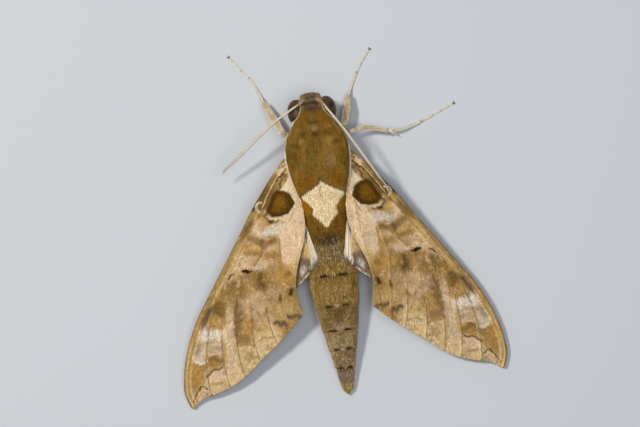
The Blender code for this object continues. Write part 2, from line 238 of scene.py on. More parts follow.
# flattened three-sided locks that taper to a point: the middle line leaves the root along the lie,
# lifts by lift * length and bends back down by bend * length * t squared. Each lock's tone is painted shade
# at its root, under its neighbours, and painted light towards its tip
def lockArrays(roots, lie, up, length, width, lift, bend, tone, uv, tipLight=1.15, rings=3, thick=0.24):
    count = len(roots)
    length, width, lift, bend = (np.broadcast_to(value, count) for value in (length, width, lift, bend))
    lie = unit(lie - up * np.sum(lie * up, -1, keepdims=True))
    side = np.cross(lie, up)
    steps = np.linspace(0, 1, rings + 1)
    t = steps[:-1]
    half = width[:, None] * np.interp(t, [0, 0.45, 0.8, 1], [0.30, 0.5, 0.40, 0])[None]
    rise = lift[:, None] * steps - bend[:, None] * steps ** 2
    middle = roots[:, None] + length[:, None, None] * (
        lie[:, None] * steps[None, :, None] + up[:, None] * rise[..., None]
    )
    body, tip = middle[:, :-1], middle[:, -1:]
    left = body - side[:, None] * half[..., None]
    right = body + side[:, None] * half[..., None]
    ridge = body + up[:, None] * (2 * thick * half)[..., None]
    points = np.concatenate([np.stack([left, ridge, right], 2).reshape(count, -1, 3), tip], 1)
    faces = []
    for ring in range(rings - 1):
        for one, two in ((0, 1), (1, 2), (2, 0)):
            a, b = ring * 3 + one, ring * 3 + two
            faces += [(a, b + 3, a + 3), (a, b, b + 3)]
    last = (rings - 1) * 3
    tipCorner = last + 3
    faces += [(last + one, last + two, tipCorner) for one, two in ((0, 1), (1, 2), (2, 0))]
    faces.append((0, 2, 1))
    faces = np.array(faces)
    size = rings * 3 + 1
    every = (faces[None] + np.arange(count)[:, None, None] * size).reshape(-1, 3)
    across = np.concatenate([np.tile([-1.0, 0.0, 1.0], rings), [0.0]])
    down = np.concatenate([np.repeat(t, 3), [1.0]]) * 2 - 1
    patch = np.stack([across, down], -1) * lockPatch / 2
    places = (uv[:, None] + patch[None]).reshape(-1, 2)
    # painted shade at the lock's root (0.94) rising to painted light at its tip
    shade = np.concatenate([np.repeat(np.interp(t, [0, 1], [0.94, tipLight]), 3), [tipLight]])
    tones = (tone[:, None] * shade[None, :, None]).reshape(-1, 3)
    return points.reshape(-1, 3), every, places, tones


# several sets of locks as one piece
def lockPiece(name, sets, finish):
    points, faces, places, tones, base = [], [], [], [], 0
    for locks in sets:
        points.append(locks[0])
        faces.append(locks[1] + base)
        places.append(locks[2])
        tones.append(locks[3])
        base += len(locks[0])
    faces = np.concatenate(faces)
    uv = np.clip(np.concatenate(places), 0, 1)[faces.ravel()]
    points = np.concatenate(points)
    points[:, 2] = np.maximum(points[:, 2], 0.01)
    makePiece(name, points, [faces], finish, uv, np.concatenate(tones), smoothed=False)


class Field:
    # one socket of a material; a formula on it adds the Math nodes that it needs
    def __init__(self, finish, socket):
        self.finish = finish
        self.socket = socket

    # one Math node on up to two values or sockets
    def math(self, operation, *values):
        return self.finish.node("Math", {"operation": operation}, dict(enumerate(values)))

    def __add__(self, other):
        return self.math("ADD", self, other)

    def __sub__(self, other):
        return self.math("SUBTRACT", self, other)

    def __rsub__(self, other):
        return self.math("SUBTRACT", other, self)

    def __mul__(self, other):
        return self.math("MULTIPLY", self, other)

    __radd__ = __add__
    __rmul__ = __mul__


class Finish:
    # a material: fixed values go on the shader's own sockets, what varies comes from node()
    def __init__(self, name, **fixed):
        self.material = bpy.data.materials.new(name)
        self.material.use_nodes = True
        self.tree = self.material.node_tree
        self.shader = self.tree.nodes["Principled BSDF"]
        for socket, value in fixed.items():
            self.shader.inputs[socket.replace("_", " ")].default_value = value

    # any node: its settings first, then the values or links of its sockets
    def node(self, kind, settings=None, inputs=None, output=0):
        made = self.tree.nodes.new("ShaderNode" + kind)
        for name, value in (settings or {}).items():
            setattr(made, name, value)
        for name, value in (inputs or {}).items():
            self.feed(made.inputs[name], value)
        return Field(self, made.outputs[output])

    # a link where the value comes from a node, a fixed value otherwise
    def feed(self, socket, value):
        if isinstance(value, Field):
            self.tree.links.new(value.socket, socket)
        else:
            socket.default_value = value

    # values or links of the shader's own sockets, by their names
    def set(self, **links):
        for name, value in links.items():
            self.feed(self.shader.inputs[name.replace("_", " ")], value)

    # object coordinates, so that a pattern keeps its real size on every piece
    def place(self):
        return self.node("TexCoord", output=3)

    # grain of the given size in mm, 0..1
    def grain(self, size, detail=3.0, rough=0.6):
        inputs = {"Vector": self.place(), "Scale": 1 / (size * mm), "Detail": detail, "Roughness": rough}
        return self.node("TexNoise", {}, inputs)

    # the colour kept at each corner of the mesh
    def tone(self):
        return self.node("Attribute", {"attribute_name": "tone"})

    # a colour times a number
    def shaded(self, colour, factor):
        return self.node("VectorMath", {"operation": "SCALE"}, {0: colour, "Scale": factor})

    # a normal tilted by the slope of a height 0..1, depth in mm
    def bump(self, height, depth, strength):
        return self.node("Bump", {}, {"Height": height, "Distance": depth * mm, "Strength": strength})


# the scaly coat: its own tone times 1 + flecks + broad patches, each about a mean of 0
def coatFinish(name, roughness, fleck):
    finish = Finish(name, Specular_IOR_Level=0.07)
    flecks = finish.grain(0.22, 4.0, 0.7)
    broad = finish.grain(1.6, 2.0)
    lightness = 1 + fleck * (flecks - 0.5) + 0.30 * (broad - 0.5)
    finish.set(
        Base_Color=finish.shaded(finish.tone(), lightness),
        Roughness=roughness - 0.15 + 0.3 * flecks,
        Normal=finish.bump(flecks, 0.05, 0.6),
    )
    return finish


bodyCoat = coatFinish("body coat", 0.72, 0.70)
wingCoat = coatFinish("wing scales", 0.66, 0.55)
limbCoat = coatFinish("limb scales", 0.68, 0.35)


# The body: y, half width, level of the widest point, top, underside
body = {
    "stations": (
        (23.15, 1.02, 6.70, 7.55, 5.80), (22.70, 1.62, 6.60, 8.15, 5.10), (21.60, 2.15, 6.60, 8.95, 4.60),
        (20.00, 2.65, 6.80, 9.75, 4.00), (18.60, 3.35, 7.05, 10.40, 3.40), (17.00, 4.40, 7.30, 11.05, 2.80),
        (15.50, 5.25, 7.50, 11.55, 2.30), (13.50, 5.80, 7.60, 12.00, 1.90),
        (11.50, 5.95, 7.60, 12.20, 1.70), (8.50, 5.65, 7.40, 12.10, 1.60), (5.50, 5.05, 7.00, 11.60, 1.60),
        (2.50, 4.45, 6.50, 10.95, 1.60), (-1.50, 4.20, 5.90, 10.10, 1.50), (-5.00, 4.35, 5.40, 9.55, 1.20),
        (-9.90, 4.60, 4.70, 8.70, 0.80), (-13.00, 4.40, 4.20, 8.00, 0.50), (-16.00, 4.02, 3.70, 7.10, 0.20),
        (-20.30, 3.27, 2.95, 5.70, -0.10), (-23.80, 2.56, 2.30, 4.45, -0.16),
        (-27.10, 1.80, 1.75, 3.20, -0.12), (-29.50, 1.32, 1.35, 2.30, 0.10),
        (-31.00, 0.85, 1.10, 1.65, 0.50), (-31.60, 0.42, 1.00, 1.25, 0.75),
    ),
    "joints": (-27.1, -23.8, -20.3, -15.7, -9.9, -5.2),
    # y: how far the skin lies inside the outer shape, for the coat to fill
    "coatDepth": ((-31.6, 0.14), (-9.0, 0.14), (-3.0, 0.22), (23.2, 0.22)),
    "hoodRise": 0.16,       # step at the edge of the brown hood
    "ringFlare": 0.08,      # how far each abdominal ring stands over the next
    "notchY": 7.55,         # rear edge of the hood on the middle line
    "rows": 280,
    "sides": 108,
}
eye = {"centre": (2.74, 19.84, 6.70), "radii": (1.70, 2.42, 2.16), "rows": 60, "sides": 72}
palp = {"centre": (1.34, 21.92, 6.10), "radii": (0.66, 1.14, 1.90), "rows": 40, "sides": 36, "locks": 1500}

noseY, tailY = 23.12, -31.58
bodyTable = np.array(body["stations"])[::-1]


# half width of the brown hood over head and thorax at each y
hoodEdge = (
    (4.3, 4.1), (5.0, 4.42), (6.3, 4.8), (8.0, 5.25), (10.0, 5.60), (12.0, 5.75), (14.0, 5.60), (15.6, 5.05),
    (17.0, 4.25), (18.2, 3.4), (19.2, 2.8), (20.3, 2.2), (21.2, 1.85), (22.2, 1.55), (23.2, 1.2),
)
# half width of the cream patch behind the hood at each y
creamPatch = (
    (-0.8, 0.0), (-0.6, 0.3), (-0.1, 0.7), (0.5, 1.05), (1.3, 1.95), (1.8, 2.45), (2.1, 2.4), (2.6, 2.15),
    (2.9, 2.25), (3.4, 2.6), (3.9, 3.05), (4.3, 3.5), (4.6, 3.85), (8.0, 4.5),
)


# rear edge of the hood: the notch less 0.9 |x| ^ 0.70, so that it runs back to either side
def hoodRear(x):
    return body["notchY"] - 0.9 * np.abs(x) ** 0.70


# half width of the hood, straight between the given places
def hoodSide(y):
    return np.interp(y, *np.array(hoodEdge).T)


# depth of the coat, straight between the given places
def coatDepth(y):
    return np.interp(y, *np.array(body["coatDepth"]).T)


# half width, widest level, top and underside at each y
def bodySection(y):
    return np.moveaxis(smooth(bodyTable[:, 0], bodyTable[:, 1:], y), -1, 0)


# place on the body's unwrap: round from the belly line, and along from head to tail
def bodyUv(angle, y):
    return np.stack([np.mod(angle / (2 * math.pi) + 0.25, 1), (noseY - y) / (noseY - tailY)], -1)


# swelling over the plain section: a saw-tooth at the abdomen's joints and a step at the hood's edge
def bodyRelief(y, angle, x):
    joints = np.array(body["joints"])
    nearest = np.searchsorted(joints, y, side="right") - 1
    ahead = np.where(nearest >= 0, y - joints[np.clip(nearest, 0, None)], 99)
    flare = body["ringFlare"] * np.clip(1 - ahead / 2.5, 0, 1) * (y < joints[-1] + 2.5)
    onBack = ease(0.12, -0.12, np.abs(x) - hoodSide(y)) * ease(0.1, 0.2, np.sin(angle))
    hood = ease(-0.1, 0.25, y - hoodRear(x)) * ease(22.0, 20.5, y) * onBack
    groove = bell(x, 0, 0.28) * ease(5.0, 8.0, y) * ease(15.0, 12.0, y) * onBack
    collar = bell(y, 16.9, 0.35) * onBack
    folds = 0.10 * bell(np.abs(x), 3.3, 0.5) * ease(7, 9, y) * ease(16, 13, y) * onBack
    return flare + body["hoodRise"] * hood - 0.10 * groove - 0.02 * collar - folds


# an ellipse at each y with its own height above and below the widest level, less the coat's depth
def bodyPoint(y, angle):
    y, angle = np.broadcast_arrays(np.asarray(y, float), np.asarray(angle, float))
    width, level, top, under = bodySection(y)
    swell = bodyRelief(y, angle, width * np.cos(angle)) - coatDepth(y)
    swell = np.maximum(swell, 0.02 - width)
    high = np.where(np.sin(angle) > 0, top - level, level - under) + swell
    z = level + np.maximum(high, 0.02) * np.sin(angle)
    return np.stack([(width + swell) * np.cos(angle), y, np.maximum(z, 0.02)], -1)


# outward normal and the tangent that runs towards the tail, both from small steps
def bodyFrame(y, angle):
    step = 0.05
    point = bodyPoint(y, angle)
    back = unit(bodyPoint(y - step, angle) - bodyPoint(y + step, angle))
    turned = bodyPoint(y, angle + step) - bodyPoint(y, angle - step)
    return point, unit(np.cross(turned, back)), back


bodyTones = {
    "hood": (0.281, 0.159, 0.03), "hoodPale": (0.363, 0.219, 0.0521), "hoodDark": (0.130, 0.066, 0.007),
    "hoodRose": (0.40, 0.245, 0.095), "hoodOlive": (0.185, 0.115, 0.020), "crown": (0.180, 0.100, 0.020),
    "brow": (0.105, 0.066, 0.030), "front": (0.42, 0.28, 0.19), "faceSide": (0.36, 0.23, 0.09),
    "spotDark": (0.065, 0.038, 0.012), "cream": (0.837, 0.649, 0.374), "creamWhite": (0.93, 0.80, 0.58),
    "rootHair": (0.80, 0.64, 0.43), "lobe": (0.26, 0.112, 0.006), "waist": (0.164, 0.0792, 0.011),
    "waistDark": (0.060, 0.033, 0.009), "grey": (0.34, 0.26, 0.14), "ring": (0.325, 0.193, 0.046),
    "ringPale": (0.482, 0.33, 0.134), "ringDark": (0.108, 0.066, 0.0207), "ringRear": (0.402, 0.287, 0.154),
    "ringRose": (0.40, 0.27, 0.19), "dash": (0.016, 0.010, 0.005), "tail": (0.50, 0.33, 0.10),
    "lastRing": (0.30, 0.205, 0.125),
    "belly": (0.56, 0.40, 0.24), "bellyLine": (0.34, 0.22, 0.12), "flank": (0.62, 0.48, 0.30),
}


# abdomen from above: speckled gold and brown rings, greyer towards the tail
def ringTone(points, x, y, ragged, fleck):
    t = bodyTones
    fine, broad = noise(points, 0.38, 14), noise(points, 1.5, 8)
    ring = mixed(plain(t["ring"], points), t["ringRear"], ease(-14, -23, y) * 0.8)
    ring = mixed(ring, t["ringPale"], ease(0.52, 0.75, 0.6 * fine + 0.4 * broad) * 0.75)
    ring = mixed(ring, t["ringDark"], ease(0.48, 0.28, 0.6 * fine + 0.4 * broad) * 0.7)
    ring = mixed(ring, t["ringPale"], spot(x, y, (1.4, -12.7), (1.2, 2.0), 0, 1.3) * 0.35)
    ring = mixed(ring, t["ringDark"], spot(x, y, (0, -18.0), (0.9, 1.3), 0, 1.4) * 0.5)
    joints = np.array(body["joints"])
    behind = joints[np.clip(np.searchsorted(joints, y, side="left"), 0, len(joints) - 1)] - y
    ring = mixed(ring, t["ringDark"], ease(2.0, 0.1, behind) * (y < -9) * ease(3.6, 0.3, x) * 0.4)
    third = ease(-15.7, -16.3, y) * ease(-20.6, -20.0, y)
    ring = mixed(ring, t["ringDark"], third * ease(0.35, 0.6, broad) * 0.55)
    ring = mixed(ring, t["ringRose"], third * spot(x, y, (0.5, -19.4), (0.9, 0.7), 0, 1.3) * 0.6)
    outwards = x / (0.2 + bodyPoint(y, 0.0)[..., 0])
    ring = mixed(ring, t["ringPale"], ease(0.72, 0.92, outwards) * ease(-9, -11, y) * 0.5)
    grey = ease(-8.6, -6.8, y) * ease(-3.4, -4.6, y + ragged)
    ring = mixed(ring, t["ringDark"], grey * 0.5)
    ring = mixed(ring, t["grey"], grey * ease(0.45, 0.75, fleck) * 0.9)
    ring = mixed(ring, t["waist"], ease(-4.6, -2.9, y + 1.4 * ragged))
    ring = mixed(ring, t["waistDark"], spot(x, y + ragged, (0, -3.2), (2.3, 1.1), 0, 1.2) * 0.85)
    white = ease(0.58, 0.74, noise(points, 0.17, 77))
    ring = mixed(ring, t["creamWhite"], spot(x, y, (0.4, -4.3), (2.0, 1.9), 0, 1.4) * white * 0.26)
    for joint in body["joints"][:-1]:
        reach = float(bodyPoint(joint, 0.0)[0])
        centre, radii = (0.42 + 0.28 * reach, joint + 0.2), (0.3 + 0.12 * reach, 0.36)
        dash = spot(x, y + 0.6 * ragged, centre, radii, 0, 0.8)
        ring = mixed(ring, t["dash"], dash * 0.95)
        ring = mixed(ring, t["creamWhite"], spot(x, y, (0, joint + 0.12), (0.34, 0.13), 0, 0.9) * 0.5)
        ring = mixed(ring, t["ringDark"], bell(y, joint - 0.06, 0.11) * 0.3)
        ring = mixed(ring, t["ringPale"], bell(y, joint + 0.55, 0.2) * 0.3)
    return ring


# tone, centre, radii, tilt in degrees, strength
hoodPatches = (
    ("hoodPale", (2.45, 14.4), (0.6, 1.0), 8, 0.95), ("hoodDark", (3.6, 14.2), (0.9, 0.4), 20, 0.85),
    ("hoodDark", (1.9, 16.0), (1.3, 0.45), -20, 0.6), ("hoodPale", (2.6, 17.0), (1.2, 0.3), 20, 0.3),
    ("hoodDark", (4.5, 11.2), (0.4, 2.6), 8, 0.3), ("lobe", (3.4, 7.6), (1.6, 1.8), -25, 0.8),
    ("lobe", (1.6, 8.6), (0.5, 1.2), 0, 0.5), ("hoodDark", (2.4, 9.2), (0.35, 1.5), 10, 0.35),
    ("hoodPale", (4.3, 8.9), (0.4, 1.2), 10, 0.35), ("grey", (0, 17.0), (0.55, 0.7), 0, 0.6),
    ("hoodOlive", (0.5, 15.4), (0.9, 1.5), 0, 0.6), ("spotDark", (0.1, 15.9), (0.42, 0.4), 0, 0.9),
    ("spotDark", (0.4, 17.9), (0.75, 0.26), 20, 0.8), ("hoodPale", (0.3, 18.7), (0.5, 0.16), -25, 0.8),
)


# hood of head and thorax: streaked and blotched velvet brown with small marks, and painted shade towards its
# sides; its halves differ a little
def hoodTone(points, x, y, streak, ragged):
    t = bodyTones
    broad = noise(points * [1, 0.7, 1], 2.2, 18)
    left = ease(0.4, -0.4, points[..., 0])
    brown = mixed(plain(t["hood"], points), t["hoodDark"], ease(0.48, 0.28, streak) * 0.7)
    brown = mixed(brown, t["hoodPale"], ease(0.56, 0.78, streak) * 0.65)
    # dark blotches, and painted shade growing towards the hood's sides where the thorax curves down
    brown = mixed(brown, t["hoodDark"], ease(0.52, 0.3, broad) * 0.6 + ease(3.4, 5.2, x) * 0.15)
    brown = mixed(brown, t["lobe"], ease(0.5, 0.72, broad) * 0.5)
    for name, centre, radii, tilt, strength in hoodPatches:
        brown = mixed(brown, t[name], spot(x, y + 0.4 * ragged, centre, radii, tilt, 1.4) * strength)
    brown = mixed(brown, t["hoodRose"], spot(x, y, (2.1, 11.2), (0.8, 1.8), 0, 1.5) * (1 - left) * 0.5)
    brown = mixed(brown, t["hoodOlive"], spot(x, y, (1.3, 11.8), (1.5, 2.6), 0, 1.4) * left * 0.6)
    crease = bell(x, 2.5, 0.12) * ease(8.2, 9.2, y) * ease(13.5, 12, y) * left
    brown = mixed(brown, t["hoodPale"], crease * 0.4)
    brown = mixed(brown, t["crown"], ease(17.0, 18.5, y) * 0.6)
    brown = mixed(brown, t["lobe"], spot(x, y, (1.7, 18.6), (0.9, 1.6), 20, 1.4) * 0.5)
    brown = mixed(brown, t["brow"], ease(19.3, 20.3, y + 0.9 * ragged - 0.35 * x))
    bow = y + 0.22 * x * x + 0.35 * ragged
    brown = mixed(brown, t["spotDark"], bell(bow, 21.35, 0.40) * ease(1.9, 1.2, x) * 0.55)
    brown = mixed(brown, t["spotDark"], bell(bow, 22.40, 0.20) * ease(1.5, 1.1, x) * 0.45)
    arcs = bell(bow, 21.98, 0.10) + 0.8 * bell(bow, 22.80, 0.11) + 0.35 * bell(bow, 20.9, 0.10)
    brown = mixed(brown, t["front"], arcs * ease(1.45, 1.15, x) * 0.9)
    return mixed(brown, t["faceSide"], ease(1.15, 1.5, x + 0.2 * ragged) * ease(20.2, 21.0, y) * 0.85)


# the body's markings at a place: underside, flanks, abdomen, waist, cream patch, hood with painted shade at
# its sides, pale edge line
def bodyTone(points, angle):
    x, y = np.abs(points[..., 0]), points[..., 1]
    t = bodyTones
    up = np.sin(angle)
    ragged = (noise(points, 0.55, 3) - 0.5) * 0.9
    streak = noise(points * [2.2, 0.5, 1.4], 0.9, 5)
    fleck = hashed(np.floor(points * 5), 2)
    bellyLine = ease(0.5, 0.15, np.abs(up + 0.45)) * ease(-3, -6, y)
    colour = mixed(plain(t["belly"], points), t["bellyLine"], bellyLine)
    colour = mixed(colour, t["flank"], ease(-0.35, -0.1, up) * ease(-5, -1, y))
    ring = ringTone(points, x, y, ragged, fleck)
    colour = mixed(colour, ring, ease(-0.15, 0.12, up + 0.15 * ragged) * ease(-0.5, -1.6, y))
    colour = mixed(colour, t["lastRing"], ease(-27.2, -27.8, y) * ease(-0.3, 0.1, up))
    colour = mixed(colour, t["tail"], ease(-29.3, -30.4, y + ragged))
    rear = ease(0.0, 0.1, up) * ease(-1.9, -1.1, y)
    waist = mixed(plain(t["waist"], points), t["waistDark"], ease(0.5, 0.25, streak) * 0.5 * ease(3, 0, y))
    waist = mixed(waist, t["lobe"], ease(0.45, 0.7, streak) * 0.35)
    colour = mixed(colour, waist, rear)
    colour = mixed(colour, t["lobe"], spot(x, y + ragged * 0.5, (3.4, 3.3), (1.15, 1.5), -12, 0.6) * rear)
    patch = np.interp(y, *np.array(creamPatch).T)
    cream = ease(-0.12, 0.22, patch - x + 0.45 * ragged) * ease(-1.0, -0.6, y)
    pale = mixed(plain(t["cream"], points), t["creamWhite"], ease(0.9, 0.2, hoodRear(x) - y) * 0.7)
    pale = mixed(pale, t["flank"], (ease(0.45, 0.3, streak) + bell(y, 2.3, 0.12)) * 0.4)
    colour = mixed(colour, pale, cream * rear)
    edge = x - hoodSide(y)
    under = ease(0.0, 0.08, up)
    hood = ease(-0.15, 0.1, y - hoodRear(x) + 0.3 * ragged) * ease(0.06, -0.1, edge + 0.12 * ragged) * under
    colour = mixed(colour, hoodTone(points, x, y, streak, ragged), hood)
    colour = mixed(colour, t["brow"], ease(0.1, 0.3, edge) * ease(16.9, 17.6, y) * ease(-0.6, 0, up))
    colour = mixed(colour, t["brow"], ease(22.4, 22.8, y) * ease(7.2, 6.8, points[..., 2]))
    line = bell(edge, 0.03, 0.11) * ease(4.2, 4.9, y) * ease(21.6, 20.6, y) * under
    return mixed(colour, t["creamWhite"], line * 0.95)


# skin of head, thorax and abdomen in one: rings of the section, closer together where the form is finer
def makeSkin():
    rows, sides = body["rows"], body["sides"]
    y = np.interp(np.linspace(0, 1, rows), [0, 0.22, 0.5, 1], [noseY, 17.0, 5.0, tailY])
    angle = np.linspace(0, 2 * math.pi, sides, endpoint=False) - math.pi / 2
    grid = np.broadcast_arrays(y[:, None], angle[None])
    rings = bodyPoint(*grid)
    points, faces, uv = closedTube(rings)
    tone = tubeTone(bodyTone(rings, grid[1]))
    replaced = ("head", "thorax", "abdomen", "tegula_left", "tegula_right")
    makePiece("bodySkin", points, faces, bodyCoat, uv, tone, replaced)


# places in staggered rows: each row's length sets how many stand in it, and hashing jitters them
def lattice(lengths, spacing, seed):
    counts = np.maximum(np.round(lengths / spacing), 1)
    row, column = np.meshgrid(np.arange(len(lengths)), np.arange(int(counts.max())), indexing="ij")
    keep = column < counts[row]
    row, column = row[keep], column[keep]
    cell = keyOf(row, column)
    share = (column + 0.5 * (row % 2) + 0.35 * hashed(cell, seed)) / counts[row]
    return row + 0.5 * (hashed(cell, seed + 1) - 0.5), share


coat = {
    "rowStep": 0.22,
    "spacing": 0.15,
    "undersideShare": 0.45,  # how many of the places below are filled
    "randomLength": 0.35,
    # y: how far single locks depart from the tone around them
    "speckle": ((-31, 0.75), (-7, 0.8), (-3, 0.6), (0, 0.35), (8, 0.30), (23, 0.25)),
    "splay": 0.16,
    # y: lock length, lock width, lift above the skin
    "byPlace": (
        (-31.6, 1.20, 0.13, 0.22), (-28.0, 0.66, 0.13, 0.20), (-10.0, 0.62, 0.14, 0.19),
        (-3.0, 0.76, 0.16, 0.17), (1.0, 1.15, 0.17, 0.10), (5.0, 1.00, 0.16, 0.10), (8.0, 0.80, 0.15, 0.17),
        (16.0, 0.72, 0.14, 0.19), (18.5, 0.60, 0.12, 0.22), (23.2, 0.42, 0.10, 0.24),
    ),
}


# locks lighter or darker by amount, most of all at both ends of chance; other shifts their warmth
def speckled(tone, amount, chance, other):
    step = 0.55 * (chance - 0.5) + 0.9 * ease(0.84, 0.95, chance) - 0.42 * ease(0.2, 0.08, chance)
    warm = np.stack([0 * other, -0.04 * (other - 0.5), -0.5 * (other - 0.5)], -1)
    return tone * (1 + amount[:, None] * (step[:, None] + warm)).clip(0.1)


# locks over a stretch of the body: rows every rowStep from y = front to y = back, lying towards the tail
def bodyLocks(front, back, upper, seed):
    y = np.arange(front, back, -coat["rowStep"])
    width, _, top, under = bodySection(y)
    lengths = math.pi * np.sqrt((width ** 2 + ((top - under) / 2) ** 2) / 2)
    row, share = lattice(lengths, coat["spacing"], seed)
    y = front - coat["rowStep"] * row
    angle = math.pi * share + (0 if upper else math.pi)
    chance = hashed(keyOf(row, share * 999), seed + 4)
    place = bodyPoint(y, angle)
    place[..., 0] = np.abs(place[..., 0])
    inEye = np.linalg.norm((place - eye["centre"]) / eye["radii"], axis=-1) < 1.02
    filled = np.interp(y, [5, 15], [coat["undersideShare"], 0.95])
    keep = ~inEye & (y > -31.5) & (upper | (chance < filled))
    y, angle, chance, row, share = (a[keep] for a in (y, angle, chance, row, share))
    point, up, tailward = bodyFrame(y, angle)
    key = keyOf(row, share * 999, 1)
    side = np.cross(tailward, up)
    lie = tailward + side * (coat["splay"] * 2 * (hashed(key, seed + 5) - 0.5))[:, None]
    table = np.array(coat["byPlace"])
    length, lockWidth, lift = smooth(table[:, 0], table[:, 1:], np.clip(y, -31.5, 23.1)).T
    length = length * (1 + coat["randomLength"] * (hashed(key, seed + 6) - 0.5)) * (1 if upper else 1.25)
    speckle = np.interp(y, *np.array(coat["speckle"]).T)
    amount = speckle * (1 if upper else 0.35)
    tone = speckled(bodyTone(point, angle), amount, hashed(key, seed + 7), hashed(key, seed + 8))
    if upper:
        lift = lift + 0.16 * ease(0.45, 0.1, np.sin(angle)) * ease(0, -5, y)
    lockWidth = lockWidth * (1 if upper else 1.3)
    return lockArrays(
        point - up * 0.012, lie, up, length, lockWidth, lift, lift * 0.45, tone, bodyUv(angle, y),
    )


fringe = {"count": 560, "rear": 4.4, "front": 20.6, "lift": 0.16, "bend": 0.10}


# longer pale locks along the side edge of the hood, on both sides
def hoodFringe():
    count = fringe["count"]
    index = np.arange(count)
    key = keyOf(index)
    side = np.where(index % 2, 1.0, -1.0)
    y = fringe["rear"] + (fringe["front"] - fringe["rear"]) * (index + hashed(key, 31)) / count
    width = bodySection(y)[0] - coatDepth(y)
    reach = hoodSide(y) + 0.16 * (hashed(key, 32) - 0.3)
    angle = np.arccos(np.clip(reach / width, 0, 0.985))
    point, up, back = bodyFrame(y, angle)
    out = unit(np.stack([y * 0 + 1, y * 0, y * 0 - 0.4], -1))
    fan = 0.03 + (0.09 + np.interp(y, [5, 9.5], [0.54, 0])) * hashed(key, 33)
    lie = back + out * fan[:, None]
    length = np.interp(y, [4, 8, 16, 21], [1.9, 1.5, 0.8, 0.5]) * (0.8 + 0.4 * hashed(key, 34))
    width = np.interp(y, [4, 9, 21], [0.17, 0.11, 0.09])
    tone = np.array(bodyTones["creamWhite"]) * (0.85 + 0.25 * hashed(key, 35))[:, None]
    flip = mirror(side)
    return lockArrays(
        point * flip, lie * flip, up * flip, length, width, fringe["lift"], fringe["bend"], tone,
        bodyUv(angle, y),
    )


# shade: painted shade in the folds of the pleats
tuft = {
    "from": ((3.75, -0.6, 7.95), (4.25, -5.0, 7.3)), "to": ((2.35, -7.2, 8.55), (3.75, -8.5, 7.6)),
    "count": 120, "width": 0.26, "pleats": 34, "tone": (0.86, 0.77, 0.60), "shade": (0.46, 0.35, 0.20),
}


# white pleated hair on both sides of the waist: straight locks fanned between two lines, the pleats drawn
# only as lines of painted shade
def sideTufts():
    index = np.arange(tuft["count"] * 2)
    key = keyOf(index)
    side = np.where(index % 2, 1.0, -1.0)
    share = ((index // 2 + hashed(key, 41)) / tuft["count"])[:, None]
    start = np.array(tuft["from"][0]) * (1 - share) + np.array(tuft["from"][1]) * share
    end = np.array(tuft["to"][0]) * (1 - share) + np.array(tuft["to"][1]) * share
    end = end + scattered(key, 42) * [0.5, 1.7, 0.3]
    lie = end - start
    slant = np.array([0.45, 0, 1.0])
    up = unit(slant - unit(lie) * (unit(lie) @ slant)[:, None])
    # lines of painted shade standing for the folds of the pleats
    pleatShade = 0.5 + 0.5 * np.sin(share[:, 0] * tuft["pleats"])
    tone = mixed(plain(tuft["tone"], start), tuft["shade"], pleatShade ** 2 * (0.3 + 0.7 * hashed(key, 45)))
    angle = np.arctan2(start[:, 2] - 5.6, start[:, 0])
    uv = bodyUv(side * angle, start[:, 1])
    flip = mirror(side)
    length = np.linalg.norm(lie, axis=-1)
    width = tuft["width"] * (0.7 + 0.6 * hashed(key, 46))
    return lockArrays(
        start * flip, lie * flip, up * flip, length, width, 0.05, 0.05, tone, uv,
        tipLight=1.05, rings=5, thick=0.3,
    )


rootHair = {"count": 620, "rear": 5.2, "front": 13.8, "width": 0.16, "lift": 0.30, "bend": 0.26}


# cream hair from the side of the thorax over the root of each forewing, longest at the rear
def rootTufts():
    count = rootHair["count"]
    index = np.arange(count)
    key = keyOf(index)
    side = np.where(index % 2, 1.0, -1.0)
    y = rootHair["rear"] + (rootHair["front"] - rootHair["rear"]) * (index + hashed(key, 61)) / count
    around = np.interp(y, [5, 9, 14], [0.22, 0.10, 0.02]) + 0.16 * (hashed(key, 62) - 0.3)
    point, up, back = bodyFrame(y, around)
    out = unit(np.stack([y * 0 + 1, y * 0, y * 0 - 0.12], -1))
    lie = back + out * (0.25 + 0.50 * hashed(key, 63))[:, None]
    length = np.interp(y, [5, 9, 14], [1.1, 1.7, 1.5]) * (0.75 + 0.5 * hashed(key, 64))
    tone = mixed(plain(bodyTones["rootHair"], point), bodyTones["creamWhite"], hashed(key, 65))
    tone = mixed(tone, bodyTones["brow"], ease(0.93, 0.97, hashed(key, 66)) * 0.7)
    angle = np.arctan2(point[:, 2] - 7.4, point[:, 0])
    flip = mirror(side)
    return lockArrays(
        point * flip, lie * flip, up * flip, length, rootHair["width"], rootHair["lift"], rootHair["bend"],
        tone, bodyUv(side * angle, y), tipLight=1.05, rings=4, thick=0.2,
    )


goldenAngle = 2.399963  # a turn that spreads points evenly over a disc or a ball
faceHair = {"count": 1100, "reach": 1.85, "length": 0.44, "width": 0.12, "lift": 0.24, "bend": 0.13}


